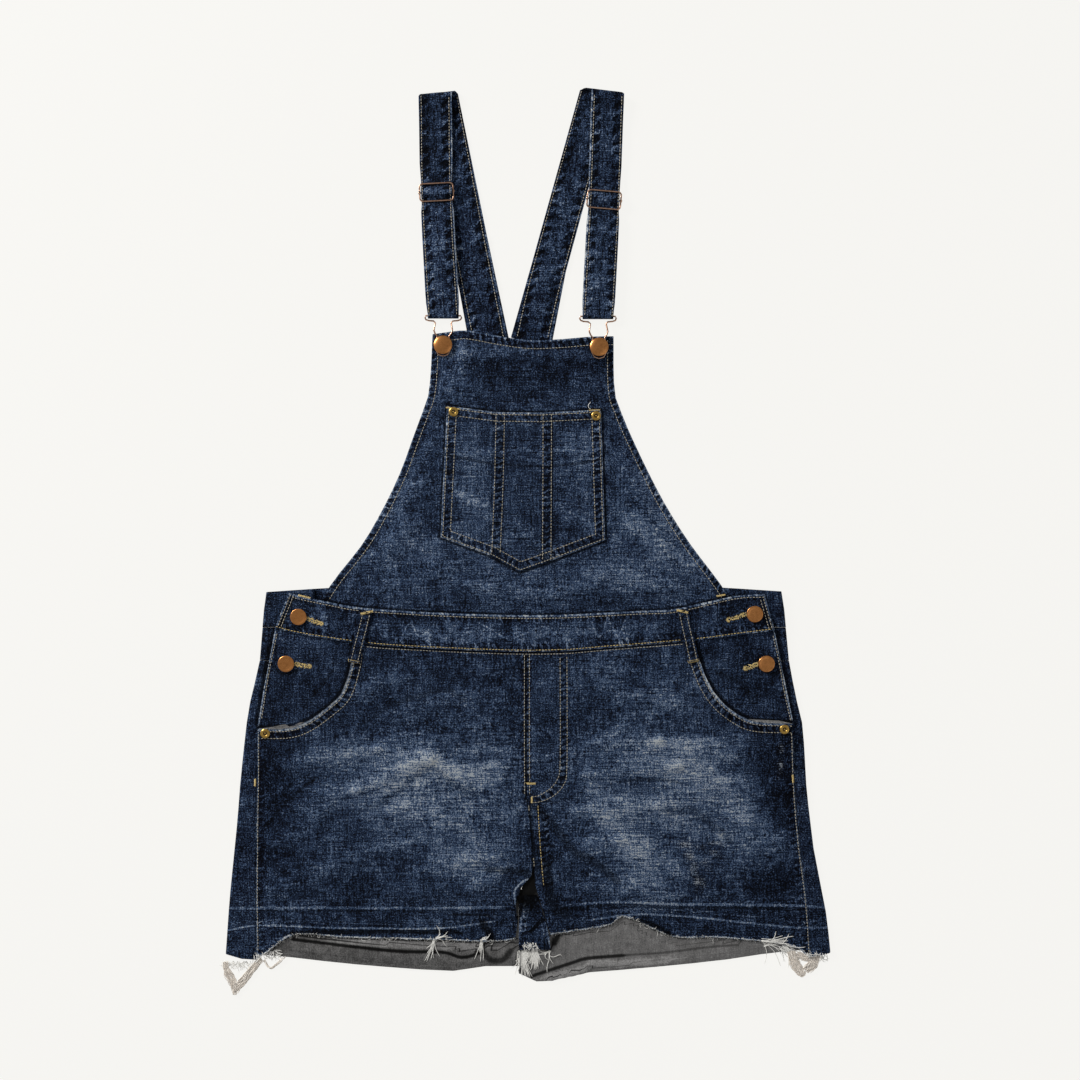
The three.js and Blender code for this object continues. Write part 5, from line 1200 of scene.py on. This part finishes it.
def stitch_frames(seat, settings):
    """Frames of every machine stitch, by thread."""
    pitch, size, thick = settings.pitch / MM, settings.stitch / MM, settings.thickness
    found = {"tan": [], "gold": []}
    rows = [(seam, offset) for seam in SEAMS for offset in seam.rows]
    for row, (seam, offset) in enumerate(rows):
        rng = np.random.default_rng(100 + row)
        on = seam.on.split()
        spots = walk(guide(seam.line, offset), pitch)
        for (x, y), (nx, ny) in zip(spots, np.diff(spots, axis=0)):
            reach = math.hypot(nx, ny)
            slant = rng.normal(0, STITCH_SLANT)
            dx, dy = (nx - slant * ny) / reach * size / 2, (ny + slant * nx) / reach * size / 2
            name, a, normal = seat.at(x - dx, y - dy, seam.under)
            other, b, _ = seat.at(x + dx, y + dy, seam.under)
            if name not in on or other not in on or (a - b).length > 1.6 * size * MM:
                continue
            if seam.line.startswith("strap"):
                if not on_run(seam.line, *(np.array([c / MM]) for c in a))[0]:
                    continue
            sizes = (size * MM * 1.05, thick * rng.uniform(0.85, 1.1), thick * 0.75)
            found[seam.thread].append(frame_between(a, b, normal, sizes, STITCH_RISE * MM))
    return found


BAR_PITCH = 0.62  # from one stitch of a bar tack to the next
EDGE_PITCH = 0.66  # from one stitch of a buttonhole to the next

# Bar tacks: from one place to another, with the width of their zigzag
BARS = (
    ((-167.0, -71.2), (-155.2, -68.6), 2.6), ((-179.3, -117.2), (-168.2, -119.4), 2.8),
    ((148.2, -67.4), (159.3, -69.8), 2.4), ((159.2, -119.0), (170.0, -116.8), 2.8),
    ((-2.4, -240.5), (7.5, -240.5), 2.2), ((3.4, -254.0), (3.4, -260.0), 1.8),
    ((-272.6, -236.0), (-272.8, -243.0), 2.0), ((263.6, -232.0), (264.0, -240.0), 2.0),
    ((-229.0, -52.6), (-217.5, -55.4), 2.0), ((188.0, -53.6), (196.5, -52.0), 1.8),
    ((-82.0, 134.6), (-69.0, 133.0), 1.6), ((60.6, 131.6), (71.4, 132.0), 1.6),
)

# Buttonholes: from the button out to the eye, with the width of the stitched edge
BUTTONHOLES = (
    ((-221.5, -75.4), (-206.0, -80.6), 2.6), ((-233.8, -121.0), (-218.2, -123.4), 2.7),
    ((216.8, -71.4), (199.2, -77.0), 2.6), ((228.8, -121.0), (216.2, -125.6), 2.6),
)


def headed(a, b):
    """How far b is from a, and its heading."""
    span = math.hypot(b[0] - a[0], b[1] - a[1])
    return span, (b[0] - a[0]) / span, (b[1] - a[1]) / span


def bar_frames(seat, settings):
    """Close zigzag stitches of the bar tacks and round the buttonholes, in gold thread."""
    thick = settings.thickness
    found = []
    rng = np.random.default_rng(7)

    def across(x, y, dx, dy, over):
        _, a, normal = seat.at(x - dx / 2, y - dy / 2)
        _, b, _ = seat.at(x + dx / 2, y + dy / 2)
        if a is not None and b is not None and (a - b).length < 8 * MM:
            sizes = ((b - a).length * 1.15, thick * 0.95, thick * 0.95)
            found.append(frame_between(a, b, normal, sizes, over * MM))

    for a, b, wide in BARS:
        span, rx, ry = headed(a, b)
        for k in range(int(span / BAR_PITCH) + 1):
            s = k * BAR_PITCH
            lean = 0.22 * (1 if k % 2 else -1)
            across(a[0] + rx * s, a[1] + ry * s, (-ry + lean * rx) * wide,
                   (rx + lean * ry) * wide, 0.2 + 0.1 * (k % 2))
    for a, b, wide in BUTTONHOLES:
        span, rx, ry = headed(a, b)
        for k in range(int(span / EDGE_PITCH) + 1):
            s = k * EDGE_PITCH
            for side in (-1, 1):
                out = side * wide * (0.42 + 0.14 * rng.normal())
                size = wide * rng.uniform(0.4, 1.0)
                lean = rng.uniform(-0.9, 0.9)
                if rng.uniform() > 0.82:
                    continue
                across(a[0] + rx * s - ry * out, a[1] + ry * s + rx * out,
                       (-ry + lean * rx) * size, (rx + lean * ry) * size, 0.3)
        for k in range(7):
            angle = -math.pi / 2 + math.pi * k / 6
            ox = rx * math.cos(angle) - ry * math.sin(angle)
            oy = ry * math.cos(angle) + rx * math.sin(angle)
            across(b[0] + ox * 1.5, b[1] + oy * 1.5, ox * 2.2, oy * 2.2, 0.35)
    return found


def strands(name, paths, radius, material, *replaced):
    """Many fine threads as one mesh. A path is a list of places in millimetres."""
    curve = bpy.data.curves.new(name, "CURVE")
    curve.dimensions = "3D"
    curve.bevel_depth = radius * MM
    curve.bevel_resolution = 0
    curve.use_fill_caps = True
    for path in paths:
        spline = curve.splines.new("POLY")
        spline.points.add(len(path) - 1)
        places = np.column_stack([np.array(path) * MM, np.ones(len(path))])
        spline.points.foreach_set("co", places.ravel())
        for k, point in enumerate(spline.points):
            point.radius = 1.0 if k < len(path) - 2 else 0.6
    made = linked(name + "_line", curve)
    ready = made.evaluated_get(bpy.context.evaluated_depsgraph_get())
    mesh = bpy.data.meshes.new_from_object(ready)
    bpy.data.objects.remove(made)
    mesh.name = name
    mesh.materials.clear()
    shown(name, smoothed(mesh, material), "fray", *replaced)


def wisp(rng, x, y, heading, size, seat, curl, rise=0.5, step=1.1):
    """A loose thread from one place, wandering over the cloth and the surface."""
    path = []
    bend = rng.normal(0, curl)
    for k in range(max(4, int(size / step))):
        _, spot, _ = seat.at(x, y)
        floor = spot.z / MM if spot is not None else 0.0
        arch = rise * math.sin(min(1.0, k * step / size) * math.pi)
        path.append((x, y, floor + 0.25 + arch * rng.uniform(0.6, 1.2)))
        bend = 0.8 * bend + rng.normal(0, curl * 0.6)
        heading += bend
        x += step * math.cos(heading)
        y += step * math.sin(heading)
    return path


# Raw edges: guide line, short threads to the centimetre, their length, heading and seed
RAW_EDGES = (
    ("raw left", 9, 3.2, -100, 21),
    ("raw right", 9, 3.0, -95, 22),
)

# Bunches of loose threads: middle, half sizes, count, length, heading, its spread, and curl
BUNCHES = {
    "fray_hem": (
        (-94, -396, 1, 1, 14, 21, -105, 7, 0.02), (-92, -395, 1, 1, 8, 14, 15, 10, 0.1),
        (-47, -397, 1, 1, 10, 19, -88, 6, 0.02), (-46, -396, 1, 1, 6, 12, 20, 12, 0.2),
        (62, 134, 1, 1, 1, 14, 110, 28, 0.22),
    ),
    "fray_crotch": (
        (-8, -410, 3, 3, 34, 24, -78, 9, 0.02), (-1, -408, 3, 3, 26, 18, -112, 9, 0.02),
        (6, -407, 3, 3, 40, 17, -88, 8, 0.02), (22, -408, 1, 1, 7, 20, -150, 8, 0.2),
        (0, -400, 8, 2, 16, 9, -90, 28, 0.2),
    ),
    "fray_left": (
        (-291, -420, 13, 2, 60, 9, -80, 28, 0.3), (-262, -411, 12, 4, 46, 8, -60, 28, 0.3),
    ),
    "fray_right": (
        (233, -397, 1, 2, 12, 30, -16, 12, 0.03), (236, -403, 1, 1, 6, 26, 12, 6, 0.05),
        (254, -404, 5, 3, 26, 18, -48, 16, 0.08), (283, -412, 15, 3, 56, 9, -90, 28, 0.3),
    ),
}

# Torn scraps: their arms as places with a half width, filled with old beige threads
SCRAPS = {
    "fray_left": (
        ((-303, -419, 2), (-300.5, -430, 3.4), (-295, -441, 3.6), (-294, -452, 1.2)),
        ((-267, -416, 2.6), (-277, -428, 3.4), (-287, -440, 3.4), (-293, -449, 2.4)),
        ((-264, -417, 0.4), (-257, -425, 0.5), (-243, -413, 0.4)),
    ),
    "fray_right": (
        ((262, -408, 4), (266, -420, 5), (272, -429, 4), (277, -431, 2)),
        ((289, -412, 3), (284, -421, 5), (277, -428, 4)),
        ((268, -412, 3), (280, -415, 3), (290, -411, 2)),
    ),
}


def scrap_paths(rng, arm, count):
    """Threads that run along one torn arm, side by side and crossing a little."""
    middle = drawn([(x, y) for x, y, _ in arm], False)
    share = np.linspace(0, 1, len(middle))
    half = np.interp(share, np.linspace(0, 1, len(arm)), [w for *_, w in arm])
    paths = []
    for _ in range(count):
        at = rng.uniform(-1, 1)
        first, last = sorted(rng.choice(len(middle), 2, replace=False))
        if last - first < 4:
            first, last = 0, len(middle) - 1
        wave, phase = rng.uniform(0.3, 1.1), rng.uniform(0, 6)
        level = rng.uniform(0.65, 1.6)
        path = []
        for k in range(first, last + 1):
            ahead = middle[min(k + 1, len(middle) - 1)] - middle[max(k - 1, 0)]
            ahead = ahead / (np.linalg.norm(ahead) + 1e-9)
            out = at * half[k] + wave * math.sin(k * 0.7 + phase)
            path.append((middle[k][0] - ahead[1] * out, middle[k][1] + ahead[0] * out,
                         level + 0.3 * math.sin(k + phase)))
        paths.append(path)
    return paths


# Metal

def measured(name):
    """Middle and foot of a solid, and in millimetres its height and radius."""
    low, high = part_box(name)
    middle = (low + high) / 2
    middle.z = low.z
    return middle, (high.z - low.z) / MM, (high.x - low.x) / MM / 2


def turned(name, replaced, outline, material, slot, steps):
    """A piece turned about an upright axis over its solid. The outline is (radius, height)."""
    foot, _, _ = measured(replaced)
    bm = bmesh.new()
    verts = [bm.verts.new((foot.x + r * MM, foot.y, foot.z + h * MM)) for r, h in outline]
    edges = [bm.edges.new(pair) for pair in zip(verts, verts[1:])]
    bmesh.ops.spin(bm, geom=verts + edges, cent=(foot.x, foot.y, 0), axis=(0, 0, 1),
                   dvec=(0, 0, 0), angle=2 * math.pi, steps=steps, use_merge=True,
                   use_duplicate=False)
    bmesh.ops.remove_doubles(bm, verts=bm.verts, dist=0.002 * MM)
    bmesh.ops.recalc_face_normals(bm, faces=bm.faces)
    shown(name, mesh_of(bm, name, material), slot, replaced)


def rounded(points):
    """An outline of radius and height with its corners cut twice."""
    p = [Vector(q) for q in points]
    for _ in range(2):
        fine = [p[0]]
        for a, b in zip(p, p[1:]):
            fine += [a.lerp(b, 0.25), a.lerp(b, 0.75)]
        p = fine + [p[-1]]
    return [tuple(q) for q in p]


# Operators

PAPER_GAP = 0.4  # the paper lies this far below the cloth


class OVERALLS_OT_back(bpy.types.Operator):
    """Back legs, yokes, waistband and back bib, with the sides that wrap on to the front"""

    bl_idname = "overalls.back"
    bl_label = "Back panels"

    def execute(self, context):
        for name in ("leg_left", "leg_right"):
            cloth("back_" + name, "back", fine=False,
                  folded=True)
        for name in ("yoke_left", "yoke_right"):
            cloth("back_" + name, "back", fine=False,
                  folded=True)
        cloth("waistband_back", "band_back", fine=False)
        cloth("back_bib", "back", fine=False, inside_up=True)
        return {"FINISHED"}


class OVERALLS_OT_shorts(bpy.types.Operator):
    """Front legs with the mock fly, and the hip pieces behind the pocket mouths"""

    bl_idname = "overalls.shorts"
    bl_label = "Front of the shorts"

    def execute(self, context):
        for side in ("left", "right"):
            cloth("pocket_facing_" + side, "legs")
            cloth("front_leg_" + side, "legs")
        return {"FINISHED"}


class OVERALLS_OT_bib(bpy.types.Operator):
    """Front bib and its peaked pocket of three panels"""

    bl_idname = "overalls.bib"
    bl_label = "Bib and pocket"

    def execute(self, context):
        cloth("front_bib", "bib")
        for name, width in (("left", 0.054), ("middle", 0.066), ("right", 0.054)):
            cloth("bib_pocket_" + name, "bib")
        return {"FINISHED"}


class OVERALLS_OT_waist(bpy.types.Operator):
    """Front waistband with its buttoned ends, and the two belt loops"""

    bl_idname = "overalls.waist"
    bl_label = "Waistband and loops"

    def execute(self, context):
        cloth("waistband_front", "band")
        for side in ("left", "right"):
            cloth("belt_loop_" + side, "loops")
        return {"FINISHED"}


class OVERALLS_OT_straps(bpy.types.Operator):
    """Straps from the back, over the shoulders, through the sliders and round the buckles"""

    bl_idname = "overalls.straps"
    bl_label = "Straps"

    def execute(self, context):
        for side in ("left", "right"):
            cloth("strap_" + side, "straps")
        return {"FINISHED"}


class OVERALLS_OT_stitching(bpy.types.Operator):
    """Rows of machine stitches in tan and gold thread"""

    bl_idname = "overalls.stitching"
    bl_label = "Stitching"

    def execute(self, context):
        settings = context.scene.overalls_thread
        found = stitch_frames(Seat(), settings)
        sewn("stitches_tan", found["tan"], thread_material("Tan thread", settings.tan), "denim")
        sewn("stitches_gold", found["gold"], thread_material("Gold thread", settings.gold), "denim")
        return {"FINISHED"}


class OVERALLS_OT_bars(bpy.types.Operator):
    """Bar tacks and stitched buttonholes in gold thread"""

    bl_idname = "overalls.bars"
    bl_label = "Bar tacks and buttonholes"

    def execute(self, context):
        settings = context.scene.overalls_thread
        sewn("bar_tacks", bar_frames(Seat(), settings),
             thread_material("Gold thread", settings.gold), "denim")
        return {"FINISHED"}


class OVERALLS_OT_frays(bpy.types.Operator):
    """Loose threads of the raw hems and the torn scraps at their corners"""

    bl_idname = "overalls.frays"
    bl_label = "Frayed edges"

    def execute(self, context):
        settings = context.scene.overalls_thread
        seat = Seat()
        cotton = thread_material("White cotton", settings.cotton, 0.12)
        old = thread_material("Old cotton", settings.old_cotton, 0.2)
        for row, (name, bunches) in enumerate(BUNCHES.items()):
            rng = np.random.default_rng(40 + row)
            paths = []
            for mx, my, wide, high, count, long, heading, spread, curl in bunches:
                for _ in range(count):
                    x = mx + wide * rng.uniform(-1, 1)
                    y = my + high * rng.uniform(-1, 1)
                    turn = math.radians(heading + rng.normal(0, spread))
                    size = long * rng.uniform(0.5, 1.25)
                    paths.append(wisp(rng, x, y, turn, size, seat, curl))
            strands(name + "_threads", paths, 0.3, cotton, name)
        for row, (name, arms) in enumerate(SCRAPS.items()):
            rng = np.random.default_rng(60 + row)
            paths = [path for arm in arms
                     for path in scrap_paths(rng, arm, int(18 * arm[1][2]) + 3)]
            strands(name + "_scrap", paths, 0.3, old)
        paths = []
        for line, per_cm, long, heading, seed in RAW_EDGES:
            rng = np.random.default_rng(seed)
            for x, y in walk(guide(line, 0.8), 10 / per_cm):
                turn = math.radians(heading + rng.normal(0, 45))
                size = long * rng.uniform(0.4, 1.3) * (1 + 1.6 * (rng.uniform() > 0.93))
                spot = (x + rng.normal(0, 0.4), y + rng.normal(0, 0.6))
                paths.append(wisp(rng, *spot, turn, size, seat, 0.4, 0.3, 0.8))
        strands("raw_edge_threads", paths, 0.17, cotton)
        return {"FINISHED"}


class OVERALLS_OT_wires(bpy.types.Operator):
    """Wire buckles and sliders, in worn copper plate"""

    bl_idname = "overalls.wires"
    bl_label = "Buckles and sliders"

    def execute(self, context):
        wire = metal_material("Worn wire", context.scene.overalls_metal.wire, 0.9)
        for name in ("slider_left", "slider_right", "buckle_left", "buckle_right"):
            bm = evened(name, 1.2)
            long_edges = [e for e in bm.edges if e.calc_length() > 3 * MM]
            bmesh.ops.subdivide_edges(bm, edges=long_edges, cuts=2, use_grid_fill=True)
            shown("wire_" + name, mesh_of(bm, "wire_" + name, wire), "wire", name)
        return {"FINISHED"}


class OVERALLS_OT_buttons(bpy.types.Operator):
    """Two domed bib buttons and four flat side buttons, in antique copper"""

    bl_idname = "overalls.buttons"
    bl_label = "Buttons"

    def execute(self, context):
        settings = context.scene.overalls_metal
        copper = metal_material("Antique copper", settings.copper, 0.55)
        for side in ("left", "right"):
            name = "bib_button_" + side
            _, top, wide = measured(name)
            dome = ((0, top - 0.1), (wide * 0.3, top - 0.12), (wide * 0.62, top - 0.5),
                    (wide * 0.86, top - 1.15), (wide * 0.97, top - 1.75), (wide, top - 2.05),
                    (wide * 0.95, top - 2.4), (wide * 0.6, top - 2.45), (2.6, top - 2.5),
                    (2.3, 0.1), (2.6, 0), (0, 0))
            turned("copper_" + name, name, rounded(dome), copper, "copper", settings.steps)
        for name in ("left_upper", "left_lower", "right_upper", "right_lower"):
            name = "side_button_" + name
            _, top, wide = measured(name)
            disc = ((0, top - 0.42), (wide * 0.4, top - 0.42), (wide * 0.66, top - 0.36),
                    (wide * 0.8, top - 0.06), (wide * 0.93, top - 0.02), (wide, top - 0.5),
                    (wide * 0.96, top - 1.0), (wide * 0.6, top - 1.15), (2.4, top - 1.2),
                    (2.1, 0.1), (2.4, 0), (0, 0))
            turned("copper_" + name, name, rounded(disc), copper, "copper", settings.steps)
        return {"FINISHED"}


class OVERALLS_OT_rivets(bpy.types.Operator):
    """Four pocket rivets with hollow middles, in antique brass"""

    bl_idname = "overalls.rivets"
    bl_label = "Rivets"

    def execute(self, context):
        settings = context.scene.overalls_metal
        brass = metal_material("Antique brass", settings.brass, 0.6)
        # A near-black disc laid over the groove in each rivet's hollow middle
        dark = thread_material("Old dirt", (0.02, 0.012, 0.006), 0.2)
        for name in ("bib_pocket_rivet_left", "bib_pocket_rivet_right", "front_pocket_rivet_left",
                     "front_pocket_rivet_right"):
            foot, top, wide = measured(name)
            ring = ((0, top - 0.5), (wide * 0.16, top - 0.5), (wide * 0.22, top - 0.95),
                    (wide * 0.34, top - 0.95), (wide * 0.44, top - 0.2), (wide * 0.6, top),
                    (wide * 0.82, top - 0.1), (wide, top - 0.7), (wide * 0.98, 0), (0, 0))
            turned("brass_" + name, name, rounded(ring), brass, "rivet", settings.steps)
            bm = bmesh.new()
            spot = Matrix.Translation((foot.x, foot.y, foot.z + (top - 0.62) * MM))
            bmesh.ops.create_circle(bm, cap_ends=True, segments=20, radius=wide * 0.4 * MM,
                                    matrix=spot)
            shown("hollow_" + name, mesh_of(bm, "hollow_" + name, dark), "rivet")
        return {"FINISHED"}


class OVERALLS_OT_stage(bpy.types.Operator):
    """Pale paper to lie on, soft window light, and a camera that looks straight down"""

    bl_idname = "overalls.stage"
    bl_label = "Stage"

    def execute(self, context):
        settings = context.scene.overalls_stage
        bm = bmesh.new()
        bmesh.ops.create_grid(bm, x_segments=1, y_segments=1, size=4,
                              matrix=Matrix.Translation((0, 0, -PAPER_GAP * MM)))
        paper = bpy.data.materials.new("Pale paper")
        paper.use_nodes = True
        shader = paper.node_tree.nodes["Principled BSDF"]
        shader.inputs["Base Color"].default_value = tuple(0.05 * c for c in settings.floor) + (1,)
        shader.inputs["Emission Color"].default_value = (*settings.floor, 1)
        shader.inputs["Emission Strength"].default_value = 0.985
        shader.inputs["Roughness"].default_value = 0.95
        shader.inputs["Specular IOR Level"].default_value = 0.0
        linked("paper", mesh_of(bm, "paper", paper))

        def light(name, place, size, power, warmth):
            data = bpy.data.lights.new(name, "AREA")
            data.size = size
            data.energy = power
            data.color = warmth
            lamp = linked(name, data)
            lamp.location = place
            lamp.rotation_euler = (-Vector(place)).to_track_quat("-Z", "Y").to_euler()

        light("window", (-2.0, 1.5, 1.1), 0.7, settings.key_power, (1.0, 0.985, 0.96))
        light("fill", (1.8, -1.2, 2.2), 2.2, settings.key_power * 0.08, (0.95, 0.97, 1.0))
        world = bpy.data.worlds.new("Soft room")
        world.use_nodes = True
        sky = world.node_tree.nodes["Background"]
        sky.inputs["Color"].default_value = (1.0, 0.995, 0.985, 1)
        sky.inputs["Strength"].default_value = 0.34
        context.scene.world = world
        camera = bpy.data.cameras.new("camera")
        camera.lens = 50
        camera.sensor_width = 36
        holder = linked("camera", camera)
        holder.location = (0.0115, 0.0025, settings.camera_height)
        context.scene.camera = holder
        context.scene.view_settings.view_transform = "Standard"
        return {"FINISHED"}


class OVERALLS_PT_panel(bpy.types.Panel):
    """Sizes, colours and pieces of the overalls"""

    bl_label = "Short overalls"
    bl_idname = "OVERALLS_PT_panel"
    bl_space_type = "VIEW_3D"
    bl_region_type = "UI"
    bl_category = "Overalls"

    def draw(self, context):
        layout = self.layout
        for operator in OPERATORS:
            layout.operator(operator.bl_idname)
        for settings in (context.scene.overalls_cloth, context.scene.overalls_thread,
                         context.scene.overalls_metal, context.scene.overalls_stage):
            box = layout.box()
            for key in settings.__annotations__:
                box.prop(settings, key)


SETTINGS = {
    "overalls_cloth": ClothSettings,
    "overalls_thread": ThreadSettings,
    "overalls_metal": MetalSettings,
    "overalls_stage": StageSettings,
}
OPERATORS = (
    OVERALLS_OT_stage, OVERALLS_OT_back, OVERALLS_OT_shorts, OVERALLS_OT_bib, OVERALLS_OT_waist,
    OVERALLS_OT_straps, OVERALLS_OT_stitching, OVERALLS_OT_bars, OVERALLS_OT_wires,
    OVERALLS_OT_buttons, OVERALLS_OT_rivets, OVERALLS_OT_frays,
)


def register():
    for item in (*SETTINGS.values(), *OPERATORS, OVERALLS_PT_panel):
        bpy.utils.register_class(item)
    for name, item in SETTINGS.items():
        setattr(bpy.types.Scene, name, PointerProperty(type=item))


def unregister():
    for name in SETTINGS:
        delattr(bpy.types.Scene, name)
    for item in (OVERALLS_PT_panel, *reversed(OPERATORS), *SETTINGS.values()):
        bpy.utils.unregister_class(item)


def main():
    register()
    bpy.ops.overalls.stage()
    bpy.ops.overalls.back()
    bpy.ops.overalls.shorts()
    bpy.ops.overalls.bib()
    bpy.ops.overalls.waist()
    bpy.ops.overalls.straps()
    bpy.ops.overalls.stitching()
    bpy.ops.overalls.bars()
    bpy.ops.overalls.wires()
    bpy.ops.overalls.buttons()
    bpy.ops.overalls.rivets()
    bpy.ops.overalls.frays()


if __name__ == "__main__":
    main()
